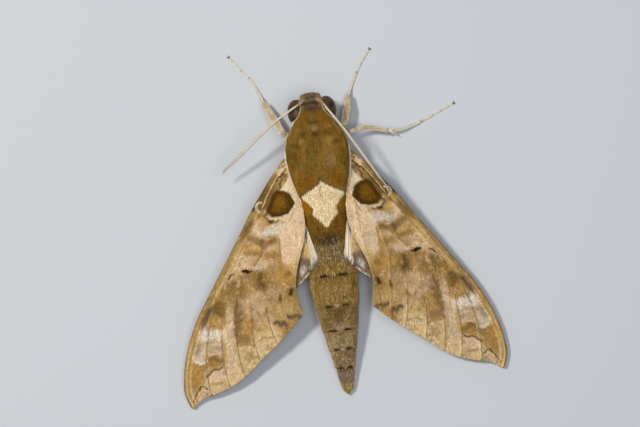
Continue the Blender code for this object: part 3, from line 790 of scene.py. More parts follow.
# hair over the blunt front of the head, pointing down the face; roots at equal areas of the front
def faceLocks():
    index = np.arange(faceHair["count"])
    key = keyOf(index)
    reach = faceHair["reach"] * np.sqrt((index + 0.5) / len(index))
    y = np.interp(reach, [0, 0.79, 1.40, faceHair["reach"]], [23.119, 23.10, 22.70, 21.85])
    angle = index * goldenAngle % (2 * math.pi)
    root, up, back = bodyFrame(y, angle)
    middle = np.array([0, noseY, 6.7])
    root = middle + (root - middle) * np.minimum(reach / 0.79, 1)[:, None]
    up = unit(up + np.array([0, 5.0, 0]) * ease(1.15, 0.85, reach)[:, None])
    sway = 0.5 * (hashed(key, 51)[:, None] - 0.5)
    lie = back * ease(1.1, 1.8, reach)[:, None] + np.array([0, 0, -1.0]) + sway
    t = bodyTones
    colour = mixed(plain(t["front"], root), t["faceSide"], ease(1.1, 1.5, np.abs(root[:, 0])) * 0.8)
    colour = mixed(colour, t["brow"], ease(6.9, 7.7, root[:, 2]) * (0.4 + 0.6 * hashed(key, 52)))
    colour = mixed(colour, t["flank"], ease(5.9, 5.3, root[:, 2]))
    tone = colour * (0.85 + 0.3 * hashed(key, 53))[:, None]
    length = faceHair["length"] * (0.8 + 0.4 * hashed(key, 54))
    return lockArrays(
        root, lie, up, length, faceHair["width"], faceHair["lift"], faceHair["bend"], tone,
        bodyUv(angle, y),
    )


makeSkin()
headCoat = bodyLocks(22.9, 17.5, True, 11)
thoraxCoat = bodyLocks(17.5, -1.6, True, 12)
abdomenCoat = bodyLocks(-1.6, -31.4, True, 13)
underCoat = bodyLocks(22.6, -30.5, False, 23)
lockPiece("headFur", [headCoat, faceLocks()], bodyCoat)
lockPiece("thoraxFur", [thoraxCoat], bodyCoat)
lockPiece("hoodFringe", [hoodFringe(), sideTufts(), rootTufts()], bodyCoat)
lockPiece("abdomenScales", [abdomenCoat], bodyCoat)
lockPiece("bellyFur", [underCoat], bodyCoat)
print("body done")


# Each wing is a sheet between its leading edge and its inner margin plus outer margin, root to apex
forewing = {
    "costa": (
        (4.9, 12.8, 6.8), (6.5, 11.6, 6.85), (8.1, 9.8, 6.7), (12.0, 5.0, 5.9), (17.4, -2.9, 4.6),
        (22.2, -9.9, 3.5), (25.9, -15.5, 2.6), (28.2, -20.6, 1.9), (29.4, -25.0, 1.4), (29.65, -28.3, 1.1),
        (28.7, -31.4, 0.9),
    ),
    "inner": (
        (4.3, 3.9, 7.7), (3.85, 2.0, 8.4), (3.75, -0.4, 8.9), (4.3, -3.0, 8.8), (5.4, -5.9, 8.2),
        (6.5, -9.2, 7.3), (6.9, -12.0, 6.7), (6.7, -14.4, 6.3), (6.3, -16.6, 6.0),
    ),
    "outer": (
        (6.3, -16.6, 6.0), (10.2, -20.2, 5.1), (15.2, -24.2, 3.9), (19.6, -27.4, 2.9),
        (23.2, -28.8, 2.2), (26.0, -29.5, 1.6), (27.5, -30.3, 1.2), (28.7, -31.4, 0.9),
    ),
    "innerShare": 0.4,      # share of the rows that end on the inner margin
    "arch": 0.55,
    "rows": 300,
    "across": 120,
    "below": 40,
    "thickness": 0.11,
    "costaRoll": 0.16,      # extra half thickness along the leading edge
    "veinHeight": 0.06,
    "sag": 0.055,           # how far the cells sink between the veins
    "fringe": 0.36,         # how far the sheet stays inside its outline for the fringe
    "scaleStep": (0.23, 0.20),
    "scaleSize": (0.44, 0.21),
    "undersideStep": (0.36, 0.33),
    "speckle": 0.26,
    "veins": (
        ((10.4, -7), (10.2, -11.5), (9.9, -15), (9.5, -19.3)),
        ((12.7, -9.5), (12.9, -14), (12.3, -19), (11.7, -21.2)),
        ((14.8, -7), (15.3, -10.5), (15.7, -15), (15.9, -19), (15.2, -24)),
        ((17.6, -8.5), (18.3, -12), (18.9, -19), (18.7, -24), (18.2, -26.4)),
        ((20.2, -11.5), (20.8, -13.5), (21.5, -18.5), (21.8, -23), (21.2, -28)),
        ((22.0, -12), (23.0, -15), (24.4, -20), (25.1, -25), (24.8, -29)),
        ((24.5, -16), (26.3, -19), (27.7, -22), (28.8, -26), (28.6, -29.5)),
        ((5.5, 4), (9, -1.6), (10.4, -7), (12.7, -11)),
        ((7.5, 8.5), (10.2, 4.4), (14.2, -1), (18.2, -6.8), (22, -12), (24.5, -16)),
        ((5.2, 3), (6, -4), (7.4, -12), (7.9, -17.5)),
        ((11.2, -2.4), (12.7, -4.7), (14.6, -7)),
        ((8.6, 8.6), (13.0, 2.2), (18.3, -5.6), (23.3, -13), (26.5, -18.6), (28.4, -23)),
    ),
}
hindwing = {
    "costa": (
        (4.6, 6.0, 6.0), (7.2, 3.2, 5.6), (11.2, -2.8, 4.6), (15.8, -9.6, 3.4), (19.6, -15.4, 2.4),
        (21.3, -19.0, 1.9),
    ),
    "inner": (
        (4.3, 2.4, 6.6), (4.3, -0.5, 7.6), (4.0, -3.5, 7.95), (3.7, -6.5, 8.0), (3.75, -8.6, 7.55),
        (4.1, -9.3, 7.15),
    ),
    "outer": (
        (4.1, -9.3, 7.15), (5.4, -10.5, 6.5), (6.8, -11.6, 5.9), (9.6, -14.6, 4.9),
        (13.6, -18.4, 3.6), (18.0, -20.4, 2.5), (21.3, -19.0, 1.9),
    ),
    "innerShare": 6 / 13,
    "arch": 0.15,
    "rows": 150,
    "across": 60,
    "below": 30,
    "thickness": 0.10,
    "costaRoll": 0.08,
    "veinHeight": 0.05,
    "sag": 0.05,
    "fringe": 0.34,
    "scaleStep": (0.27, 0.25),
    "scaleSize": (0.52, 0.27),
    "undersideStep": (0.40, 0.38),
    "speckle": 0.25,
    "veins": (
        ((4.6, 3), (5.2, -5), (6.0, -10.6)),
        ((5.2, 2), (8, -8), (9.4, -14.2)),
        ((6, 1), (11, -9), (13.3, -17.9)),
        ((7, 1), (13, -9), (16.8, -19.6)),
        ((8, 1), (15, -10), (19.8, -19.6)),
    ),
}

wingTones = {
    "ochre": (0.649, 0.387, 0.134), "ochreDeep": (0.47, 0.273, 0.076), "pale": (0.858, 0.63, 0.333),
    "creamPink": (0.832, 0.606, 0.375), "lilac": (0.832, 0.702, 0.545), "lilacTan": (0.759, 0.561, 0.352),
    "buff": (0.863, 0.63, 0.38), "brown": (0.285, 0.159, 0.043), "midBrown": (0.431, 0.253, 0.0764),
    "darkBrown": (0.176, 0.102, 0.0308), "blackBrown": (0.0495, 0.0198, 0.0044),
    "purplish": (0.665, 0.458, 0.249), "purpleDark": (0.209, 0.13, 0.0682), "costa": (0.462, 0.286, 0.0935),
    "amber": (0.223, 0.0972, 0.0054), "olive": (0.30, 0.185, 0.058), "rim": (0.0754, 0.0351, 0.0039),
    "white": (0.95, 0.835, 0.69), "grey": (0.462, 0.369, 0.275), "gold": (0.583, 0.33, 0.0935),
    "root": (0.808, 0.63, 0.399), "straw": (0.785, 0.566, 0.231), "vein": (0.242, 0.154, 0.066),
    "hind": (0.259, 0.182, 0.105), "hindDark": (0.0935, 0.0572, 0.033), "hindBand": (0.572, 0.374, 0.22),
    "hindLilac": (0.66, 0.517, 0.44), "hindCorner": (0.13, 0.09, 0.06),
    "under": (0.66, 0.44, 0.22), "underWarm": (0.572, 0.33, 0.132),
}
# tone, centre, radii, tilt in degrees, softness, strength
wingPatches = (
    ("ochreDeep", (8.6, -11.5), (3.4, 6.4), 8, 1.2, 1.0), ("gold", (8.3, -9.4), (1.8, 1.7), 0, 1.4, 0.5),
    ("straw", (8.8, -15.0), (1.6, 1.6), 0, 1.4, 0.5), ("lilacTan", (11.4, -11.8), (1.6, 1.5), 0, 1.4, 0.45),
    ("creamPink", (5.2, 1.2), (2.9, 2.3), 0, 0.9, 1.0),
    ("creamPink", (5.9, -2.0), (3.1, 3.8), 8, 0.35, 1.0),
    ("creamPink", (7.3, -5.2), (1.85, 2.0), 0, 0.45, 1.0), ("straw", (6.0, -7.4), (1.7, 1.6), 0, 1.4, 0.8),
    ("lilac", (10.2, -0.8), (2.4, 1.1), -8, 1.0, 0.95), ("buff", (13.0, 0.6), (1.5, 1.3), -40, 1.3, 0.5),
    ("lilacTan", (10.3, -3.8), (1.5, 0.7), 0, 1.2, 0.6),
    ("lilacTan", (12.6, -6.6), (2.1, 1.1), -20, 1.1, 0.9),
    ("buff", (16.6, -5.6), (1.5, 1.5), -30, 1.3, 0.7), ("gold", (13.6, -3.0), (1.4, 0.8), 25, 1.3, 0.35),
    ("midBrown", (16.0, -9.7), (4.6, 1.8), -12, 1.1, 1.0),
    ("brown", (18.0, -10.6), (1.5, 2.2), 20, 1.3, 0.7),
    ("midBrown", (18.7, -13.6), (1.5, 3.4), 10, 1.2, 0.95),
    ("brown", (13.0, -9.6), (1.0, 1.6), 8, 1.2, 0.7),
    ("darkBrown", (12.9, -9.5), (0.5, 1.2), -15, 1.0, 0.9),
    ("purpleDark", (13.9, -11.2), (0.7, 1.2), 25, 1.2, 0.6),
    ("midBrown", (14.7, -11.2), (1.0, 1.0), 30, 1.1, 0.6),
    ("brown", (19.6, -9.9), (1.1, 0.6), -45, 1.3, 0.5),
    ("purplish", (14.6, -14.0), (2.3, 2.4), -20, 1.1, 0.9),
    ("purplish", (16.6, -13.4), (1.3, 1.3), 0, 1.2, 0.6),
    ("purpleDark", (16.1, -16.3), (1.0, 0.6), -10, 1.2, 0.85),
    ("purpleDark", (17.6, -14.8), (0.8, 2.0), 10, 1.3, 0.6),
    ("gold", (17.2, -18.0), (1.9, 2.4), -10, 1.1, 0.85),
    ("purpleDark", (17.6, -19.6), (1.3, 0.8), 10, 1.3, 0.6),
    ("brown", (18.2, -17.6), (0.6, 2.2), 5, 1.3, 0.6),
    ("purpleDark", (18.4, -16.4), (0.5, 3.0), 4, 1.3, 0.55),
    ("straw", (13.8, -18.3), (1.3, 1.1), 0, 1.3, 0.7),
    ("midBrown", (6.7, -15.6), (0.8, 1.6), -15, 1.3, 0.7), ("gold", (17.2, -23.0), (0.8, 0.9), 0, 1.3, 0.6),
    ("gold", (13.2, -21.3), (0.8, 0.6), 0, 1.3, 0.4),
    ("creamPink", (20.2, -19.8), (0.95, 6.6), 5, 0.8, 1.0),
    ("gold", (18.6, -24.4), (0.7, 1.0), 0, 1.4, 0.4), ("brown", (21.7, -13.6), (1.5, 1.2), -38, 1.0, 1.0),
    ("darkBrown", (22.0, -13.4), (0.9, 0.5), -38, 1.3, 0.6),
    ("gold", (22.5, -16.0), (1.7, 1.2), 5, 0.9, 0.95), ("brown", (23.3, -16.8), (1.2, 0.45), -5, 1.1, 0.6),
    ("purpleDark", (23.9, -14.6), (0.5, 1.6), 38, 1.1, 0.85),
    ("white", (22.4, -18.1), (1.6, 0.9), 5, 1.2, 0.85), ("white", (24.9, -17.7), (1.25, 1.3), 0, 1.0, 1.0),
    ("lilacTan", (22.9, -20.3), (1.2, 1.5), 0, 1.0, 0.95),
    ("lilac", (22.8, -19.5), (1.0, 0.3), 8, 1.0, 0.8),
    ("purpleDark", (22.9, -20.3), (0.9, 0.2), 8, 1.2, 0.35),
    ("lilacTan", (25.6, -20.6), (1.6, 2.1), -20, 1.0, 0.95),
    ("lilac", (26.1, -21.4), (0.9, 1.1), -20, 1.3, 0.6), ("grey", (26.3, -20.7), (0.7, 0.4), -20, 1.3, 0.7),
    ("grey", (25.3, -19.6), (0.9, 0.35), -20, 1.3, 0.5),
    ("gold", (27.4, -25.2), (1.8, 2.7), -12, 0.8, 0.95),
    ("midBrown", (26.3, -23.9), (0.9, 0.5), -30, 1.2, 0.7),
    ("midBrown", (28.4, -27.6), (0.6, 1.4), -10, 1.2, 0.6),
    ("midBrown", (23.6, -23.0), (1.5, 1.15), -8, 0.5, 1.0),
    ("brown", (23.7, -22.5), (1.2, 0.5), -8, 1.1, 0.7), ("gold", (23.3, -23.4), (0.7, 0.5), 0, 1.3, 0.6),
    ("creamPink", (23.5, -25.7), (1.6, 0.95), -10, 0.7, 0.95),
    ("buff", (26.6, -29.0), (1.6, 0.9), -35, 0.9, 0.9), ("root", (6.6, 8.6), (1.8, 2.9), -15, 0.6, 1.0),
    ("root", (5.2, 5.6), (1.0, 2.2), 0, 0.8, 1.0), ("brown", (12.0, 2.9), (0.5, 0.9), -30, 1.0, 0.85),
    ("midBrown", (9.9, 6.2), (0.95, 4.0), 33, 1.0, 0.85),
    ("brown", (13.2, -1.8), (1.2, 0.8), 20, 1.3, 0.55), ("brown", (10.2, -2.5), (1.1, 0.7), 0, 1.3, 0.5),
    ("gold", (11.2, -5.0), (1.2, 0.8), 0, 1.4, 0.6),
)
# the same, laid over the leading edge's stripe
edgePatches = (
    ("brown", (14.5, -0.2), (1.9, 0.62), -54, 1.1, 0.95),
    ("darkBrown", (13.4, 1.3), (0.8, 0.45), -54, 1.2, 0.7),
    ("straw", (16.6, -3.2), (1.3, 0.4), -55, 1.2, 0.35),
    ("brown", (18.8, -6.4), (1.3, 0.35), -55, 1.3, 0.5),
    ("blackBrown", (12.4, 4.2), (1.0, 0.28), -53, 1.0, 0.9),
    ("purpleDark", (23.9, -14.9), (2.1, 0.55), -62, 1.1, 1.0),
    ("darkBrown", (23.2, -13.8), (1.0, 0.35), -60, 1.2, 0.7),
    ("gold", (26.4, -17.6), (2.2, 0.4), -62, 1.2, 0.6),
)
# tone, half width, softness, strength, line
wingStrokes = (
    ("midBrown", 0.42, 1.4, 0.95, ((9.2, -5.2), (11.2, -5.1))),
    ("midBrown", 0.48, 1.4, 0.95, ((12.6, -4.5), (13.8, -4.2), (15.2, -4.0))),
    ("brown", 0.42, 1.4, 0.75, ((9.0, -2.5), (10.2, -2.5), (11.0, -2.8), (11.8, -3.4))),
    ("brown", 0.48, 1.4, 0.8, ((12.0, -2.6), (13.0, -2.0), (14.2, -1.5))),
    ("midBrown", 0.22, 1.4, 0.9, ((8.9, -2.4), (9.0, -4.5), (9.1, -6.8), (9.5, -7.8))),
    ("purpleDark", 0.34, 1.4, 0.85, ((11.8, -2.3), (12.2, -3.0))),
    ("purpleDark", 0.15, 1.3, 0.7, ((11.9, -3.2), (12.4, -4.6), (13.2, -5.6), (14.0, -6.5))),
    ("blackBrown", 0.42, 0.4, 1.0, ((15.25, -7.5), (15.55, -7.35))),
    ("blackBrown", 0.22, 0.6, 1.0, ((14.7, -7.55), (15.4, -7.4), (16.2, -7.2))),
    ("blackBrown", 0.17, 0.6, 0.95, ((17.95, -7.6), (18.45, -7.75), (18.9, -8.35))),
    ("darkBrown", 0.42, 1.0, 1.0, ((7.7, -11.7), (8.1, -12.3))),
    ("blackBrown", 0.20, 1.0, 0.8, ((7.9, -11.6), (8.0, -12.2))),
    ("darkBrown", 0.26, 0.9, 1.0, ((10.0, -12.5), (10.05, -13.3))),
    ("brown", 0.45, 1.4, 0.7, ((8.0, -8.6), (8.4, -9.0))),
    ("darkBrown", 0.18, 1.2, 0.8, ((12.75, -14.3), (12.75, -15.3))),
    ("brown", 0.15, 1.2, 0.7, ((12.7, -16.0), (12.6, -16.8))),
    ("darkBrown", 0.22, 1.3, 0.75, ((17.9, -12.3), (18.4, -14.5), (18.7, -16.5))),
    ("brown", 0.26, 1.3, 0.75, ((18.6, -17.3), (18.8, -18.8), (18.7, -20.2))),
    ("purpleDark", 0.36, 1.2, 1.0, ((7.0, -16.7), (7.7, -16.4), (8.3, -16.7), (9.1, -16.4))),
    (
        "purpleDark", 0.30, 1.2, 1.0,
        ((9.6, -18.0), (10.1, -17.4), (10.6, -17.9), (11.1, -17.1), (11.6, -17.3)),
    ),
    ("midBrown", 0.20, 1.4, 0.7, ((12.2, -19.9), (14.2, -19.7), (15.0, -20.3))),
    ("midBrown", 0.22, 1.4, 0.7, ((15.8, -20.8), (17.2, -20.4), (18.4, -20.7))),
    ("creamPink", 0.20, 1.2, 0.8, ((21.9, -21.2), (23.2, -21.4), (24.2, -21.8))),
    ("white", 0.28, 1.2, 0.85, ((24.9, -22.8), (26.0, -23.0), (27.0, -22.4), (27.4, -21.4))),
    (
        "darkBrown", 0.18, 1.0, 0.9,
        ((22.3, -24.1), (22.9, -24.5), (23.7, -24.3), (24.3, -24.8), (25.1, -25.6)),
    ),
    ("midBrown", 0.26, 1.4, 0.75, ((22.6, -26.9), (23.5, -27.0), (24.3, -26.9))),
    ("darkBrown", 0.14, 1.0, 0.95, ((25.4, -27.8), (26.0, -27.2), (26.5, -27.2), (27.0, -27.9))),
    ("darkBrown", 0.16, 1.0, 0.85, ((27.0, -27.9), (27.8, -28.9), (28.4, -30.0), (28.7, -31.0))),
    ("brown", 0.14, 1.3, 0.7, ((25.5, -28.6), (26.2, -28.2), (27.0, -28.9))),
    ("purpleDark", 0.10, 1.0, 0.5, ((5.4, 3.0), (6.0, 1.7), (6.7, 0.6))),
    ("root", 0.26, 1.0, 1.0, ((6.4, 1.7), (8.3, 1.35), (9.6, 1.35), (10.6, 1.9))),
    ("root", 0.14, 1.3, 0.6, ((10.7, 2.0), (10.7, 2.9), (10.3, 3.9))),
    ("blackBrown", 0.13, 1.1, 0.8, ((10.5, 2.3), (10.3, 3.6), (9.6, 5.2), (9.1, 6.3))),
    (
        "purpleDark", 0.18, 0.9, 1.0,
        ((8.4, 1.1), (9.0, 0.85), (9.5, 1.2), (10.0, 0.9), (10.4, 1.5), (10.9, 2.0), (10.7, 2.6)),
    ),
    ("blackBrown", 0.24, 1.0, 0.8, ((9.6, 0.85), (10.2, 1.0))),
    ("brown", 0.22, 1.2, 0.8, ((5.9, 10.7), (6.5, 10.5))),
    ("brown", 0.14, 1.2, 0.8, ((6.2, 11.7), (6.8, 11.0), (7.2, 10.2))),
)
# the same, drawn over the leading edge's stripe and its patches
lastStrokes = (
    ("darkBrown", 0.16, 0.9, 1.0, ((5.9, 10.1), (6.5, 9.4), (6.4, 8.9), (6.9, 8.3))),
    ("blackBrown", 0.20, 0.9, 0.95, ((6.7, 9.3), (7.2, 8.7), (7.7, 8.8), (8.0, 8.2))),
    ("blackBrown", 0.15, 0.9, 0.9, ((7.0, 8.2), (7.4, 7.6), (7.3, 7.1))),
    ("darkBrown", 0.12, 1.0, 0.9, ((5.9, 9.2), (6.3, 8.5), (6.2, 7.9))),
    ("straw", 0.10, 1.1, 0.95, ((7.4, 9.3), (8.9, 7.3), (10.3, 5.1), (11.2, 3.4))),
    ("root", 0.17, 1.0, 0.95, ((11.2, 4.6), (11.8, 4.6), (12.2, 4.0), (12.1, 3.3), (11.6, 2.9))),
)
# the dark oval near the root, as its corners
ovalPatch = (
    (5.15, 3.8), (5.8, 5.6), (7.0, 6.3), (8.3, 6.4), (9.1, 5.6), (9.9, 3.9), (10.4, 2.8), (9.6, 1.85),
    (8.2, 1.7), (6.5, 2.1),
)


# below 0 inside a closed outline, above 0 outside: the distance to its edge with the side's sign
def signedGap(x, y, outline):
    outline = np.array(outline)
    closed = np.concatenate([outline, outline[:1]])
    inside = np.zeros(np.shape(x), bool)
    for a, b in zip(closed[:-1], closed[1:]):
        crosses = (a[1] > y) != (b[1] > y)
        rise = np.where(b[1] == a[1], 1e-9, b[1] - a[1])
        inside ^= crosses & (x < a[0] + (b[0] - a[0]) * (y - a[1]) / rise)
    return lineGap(x, y, closed) * np.where(inside, -1, 1)


# distance to the nearest vein, each drawn as a smooth curve
def veinGap(wing, x, y):
    lines = [alongAt(np.array(line, float), np.linspace(0, 1, 9)) for line in wing["veins"]]
    return np.min([lineGap(x, y, line) for line in lines], axis=0)


# a colour with soft ellipses laid over it in turn
def patched(colour, x, y, patches):
    for name, centre, radii, tilt, soft, strength in patches:
        colour = mixed(colour, wingTones[name], spot(x, y, centre, radii, tilt, soft) * strength)
    return colour


# a colour with lines drawn over it in turn: full up to the half width, and patchy where they are very soft
def drawn(colour, x, y, strokes, patchy=1):
    for name, half, soft, strength, line in strokes:
        stroke = 1 - ease(1 - soft / 2, 1 + soft / 2, lineGap(x, y, line) / half)
        colour = mixed(colour, wingTones[name], stroke * strength * (patchy if soft > 1.1 else 1))
    return colour


# forewing markings: tan ground, pale outer margin, patches, mottling, strokes, veins, leading edge, oval
def forewingTone(points):
    t = wingTones
    trueX, trueY = np.abs(points[..., 0]), points[..., 1]
    flat = np.stack([trueX, trueY, trueX * 0], -1)
    driftX = noise(flat, 1.6, 31) - 0.5 + 0.6 * (noise(flat, 0.5, 34) - 0.5)
    driftY = noise(flat, 1.6, 37) - 0.5 + 0.6 * (noise(flat, 0.5, 40) - 0.5)
    x, y = trueX + 1.1 * driftX, trueY + 1.1 * driftY
    margin = lineGap(x, y, forewing["outer"])
    blotch = noise(flat, 2.6, 44)
    colour = mixed(plain(t["ochre"], points), t["ochreDeep"], ease(0.5, 0.3, blotch) * 0.7)
    colour = mixed(colour, t["buff"], ease(0.52, 0.72, blotch) * 0.5)
    colour = mixed(colour, t["pale"], ease(5.6, 2.8, margin) * ease(9.5, 12.0, x))
    colour = patched(colour, x, y, wingPatches)
    mottle = 0.55 * noise(flat, 0.55, 41) + 0.45 * noise(flat, 1.8, 42)
    middle = ease(10.5, 6.5, np.hypot(x - 15.0, (y + 13.5) * 0.85))
    colour = mixed(colour, t["creamPink"], 0.50 * middle * ease(0.54, 0.72, mottle))
    dots = (0.25 + 0.35 * middle) * ease(0.46, 0.26, mottle) * ease(7.5, 9.5, x + 0.2 * y)
    colour = mixed(colour, t["brown"], dots)
    patchy = np.clip(0.45 + 1.1 * noise(flat, 0.7, 45), 0, 1)
    x = trueX + 0.20 * (noise(flat, 0.6, 43) - 0.5)
    y = trueY + 0.20 * (noise(flat, 0.6, 47) - 0.5)
    colour = drawn(colour, x, y, wingStrokes, patchy)
    outer = ease(-12, -18, trueY) * ease(6.4, 7.2, trueX)
    veins = ease(0.13, 0.03, veinGap(forewing, trueX, trueY))
    colour = mixed(colour, t["vein"], veins * (0.16 + 0.62 * outer))
    edge = lineGap(trueX, trueY, forewing["costa"])
    colour = mixed(colour, t["costa"], ease(1.15, 0.75, edge) * ease(9.8, 8.5, y) * 0.75)
    colour = mixed(colour, t["straw"], bell(edge, 1.2, 0.17) * ease(7.5, 5, y) * 0.65)
    colour = mixed(colour, t["midBrown"], bell(edge, 1.62, 0.12) * ease(9.0, 7.0, y) * 0.5)
    colour = mixed(colour, t["straw"], bell(edge, 0.45, 0.2) * ease(-17, -20, y) * 0.8)
    colour = mixed(colour, t["brown"], ease(0.3, 0.08, edge) * ease(11, 9, y) * 0.7)
    shadow = ease(2.9, 2.4, edge) * ease(2.7, 3.7, trueY) * ease(10.2, 8.6, trueY + 0.8 * driftX)
    darker = ease(0.55, 0.75, patchy) * ease(8, 6, trueY)
    olive = mixed(plain(t["olive"], points), t["darkBrown"], darker)
    colour = mixed(colour, olive, shadow * 0.92)
    colour = mixed(colour, t["darkBrown"], bell(edge, 1.05, 0.3) * shadow * ease(7.5, 5.5, trueY) * 0.7)
    colour = patched(colour, x, y, edgePatches)
    colour = drawn(colour, x, y, lastStrokes)
    oval = signedGap(x, y, ovalPatch)
    inside = mixed(plain(t["rim"], points), t["amber"], ease(-0.25, -1.2, oval) * ease(5.9, 7.9, x))
    inside = mixed(inside, t["rim"], 0.45 * ease(0.5, 0.25, noise(flat, 0.5, 53)))
    colour = mixed(colour, inside, ease(0.14, -0.1, oval))
    grain = 1.03 + 0.42 * (noise(flat, 0.30, 61, 2) - 0.5) + 0.34 * (noise(flat, 1.3, 67) - 0.5)
    return colour * grain[..., None]


# hindwing: dark field, pinkish tan band before the pale margin, straw inner margin, lilac-grey corner
def hindwingTone(points):
    t = wingTones
    x = np.abs(points[..., 0]) + 0.4 * (noise(points, 1.0, 71) - 0.5)
    y = points[..., 1]
    margin = lineGap(x, y, hindwing["outer"])
    colour = mixed(plain(t["hindDark"], points), t["hindBand"], bell(margin, 3.6, 1.3))
    colour = mixed(colour, t["hind"], ease(1.6, 0.9, margin) * 0.9)
    colour = mixed(colour, t["hind"], ease(7.2, 6.4, x) * ease(-5.5, -7.0, y))
    lilac = spot(x, y, (5.3, -8.5), (0.55, 1.0), 20, 1.2) * np.where(points[..., 0] > 0, 0.95, 0.05)
    colour = mixed(colour, t["hindLilac"], lilac)
    colour = mixed(colour, t["hindCorner"], spot(x, y, (4.6, -9.2), (0.7, 0.5), -40, 1.2) * 0.7)
    inner = lineGap(x, y, hindwing["inner"])
    colour = mixed(colour, t["straw"], ease(1.3, 0.5, inner) * ease(-6.9, -5.9, y))
    colour = mixed(colour, t["white"], ease(0.50, 0.32, margin) * 0.7)
    return colour * (1 + 0.18 * (noise(points, 0.35, 73) - 0.5))[..., None]


# both undersides: warm buff, browner inwards, with a faint dark line before the margin
def undersideTone(points):
    t = wingTones
    x, y = np.abs(points[..., 0]), points[..., 1]
    margin = lineGap(x, y, forewing["outer"])
    colour = mixed(plain(t["under"], points), t["underWarm"], ease(9, 15, margin) * 0.7)
    colour = mixed(colour, t["midBrown"], bell(margin, 4.8, 0.35) * 0.6)
    colour = mixed(colour, t["midBrown"], bell(margin, 8.5, 0.3) * 0.35)
    return colour * (1 + 0.2 * (noise(points, 0.4, 79) - 0.5))[..., None]


# front * (1 - s) + back * s, arched by 4 s (1 - s); r runs from the root to the apex
def wingPoint(wing, r, s):
    r, s = np.broadcast_arrays(np.asarray(r, float), np.asarray(s, float))
    split = wing["innerShare"]
    front = alongAt(wing["costa"], np.clip(r, 0, 1))
    inner = alongAt(wing["inner"], np.clip(r / split, 0, 1))
    outer = alongAt(wing["outer"], np.clip((r - split) / (1 - split), 0, 1))
    back = np.where((r < split)[..., None], inner, outer)
    chord = np.linalg.norm(back - front, axis=-1)
    point = front * (1 - s)[..., None] + back * s[..., None]
    point[..., 2] += wing["arch"] * np.minimum(1, chord / 10) * 4 * s * (1 - s)
    return point


# distance from the front edge to the rear one
def wingChord(wing, r):
    return np.linalg.norm(wingPoint(wing, r, 1.0) - wingPoint(wing, r, 0.0), axis=-1)


# ridges along the veins and shallow hollows between them
def wingRelief(wing, points):
    gap = veinGap(wing, points[..., 0], points[..., 1])
    ridge = wing["veinHeight"] * bell(gap, 0, 0.16) - wing["sag"] * ease(0.1, 1.0, gap)
    return ridge + 0.10 * (noise(points, 3.5, 83) - 0.5)


# middle of the sheet, its upward normal, the direction from the root outwards and the one to the rear
def wingFrame(wing, r, s):
    step = 0.004
    point = wingPoint(wing, r, s)
    along = wingPoint(wing, r + step, s) - wingPoint(wing, r - step, s)
    across = wingPoint(wing, r, s + step) - wingPoint(wing, r, s - step)
    up = unit(np.cross(across, along))
    up = up * np.sign(up[..., 2:] + 1e-9)
    outwards = unit(point - np.array([3.0, 10.0, 7.0]))
    point = point + up * wingRelief(wing, point)[..., None]
    return point, up, outwards, unit(across)


# the sheet as closed rings across the wing: top from front to back, underside back again
def makeWingSheet(name, wing, side, topTone, replaced):
    r = np.linspace(0.01, 0.992, wing["rows"])[:, None]
    chord = wingChord(wing, r)
    first, last = 0.10 / chord, 1 - np.minimum(wing["fringe"] / chord, 0.45)
    shareTop = np.linspace(0, 1, wing["across"])[None]
    shareBelow = np.linspace(1, 0, wing["below"])[None, 1:-1]
    rings = []
    for share, way in ((shareTop, 1), (shareBelow, -1)):
        s = first + (last - first) * share
        point, up, _, _ = wingFrame(wing, r, s)
        gap = (s - first) * chord
        thick = wing["thickness"] / 2 + wing["costaRoll"] * bell(gap, 0.3, 0.45)
        thick = thick * np.sqrt(np.clip(1 - np.abs(2 * share - 1) ** 30, 0.0, 1))
        rings.append(point + up * (way * thick)[..., None])
    top, below = rings
    rings = np.concatenate([top, below], axis=1)
    tones = np.concatenate([topTone(top), undersideTone(below)], axis=1)
    points, faces, uv = closedTube(rings * mirror(side))
    makePiece(name, points, faces, wingCoat, uv, tubeTone(tones), replaced)


# overlapping scales in rows across one face of the wing, each pointing outwards from the root
def wingScales(wing, side, steps, size, tone, upper, seed):
    reach = np.linalg.norm(np.diff(np.array(wing["costa"]), axis=0), axis=1).sum()
    r = np.arange(0.03, 0.985, steps[0] / reach)
    row, share = lattice(wingChord(wing, r), steps[1], seed)
    r = 0.03 + row * steps[0] / reach
    chord = wingChord(wing, r)
    s = share * (1 - np.minimum(0.8 * wing["fringe"] / chord, 0.4))
    s = np.maximum(s, np.minimum(0.12 / chord, 0.3))
    point, up, outwards, _ = wingFrame(wing, r, s)
    way = 1 if upper else -1
    near = bell(s * chord, 0, 1.1)[:, None]
    edgeWay = unit(wingPoint(wing, r + 0.01, s) - wingPoint(wing, r - 0.01, s))
    outwards = unit(outwards * (1 - near) + edgeWay * near)
    key = keyOf(row, share * 999)
    thick = wing["thickness"] / 2 + wing["costaRoll"] * bell(s * chord, 0.4, 0.45)
    across = np.cross(outwards, up)
    lie = outwards + across * (0.45 * (hashed(key, seed + 1) - 0.5))[:, None] * (1 - 0.9 * near)
    amount = np.full(len(r), wing["speckle"])
    tones = speckled(tone(point), amount, hashed(key, seed + 2), hashed(key, seed + 6))
    length = size[0] * (0.85 + 0.3 * hashed(key, seed + 3))
    root = point + up * (way * (thick - 0.008))[:, None] - outwards * 0.1
    flip = mirror(side)
    uv = np.stack([s * 0.5 + (0 if upper else 0.5), r], -1)
    return lockArrays(
        root * flip, lie * flip, way * up * flip, length, size[1], 0.15, 0.035, tones, uv,
        tipLight=1.08, rings=2, thick=0.12,
    )


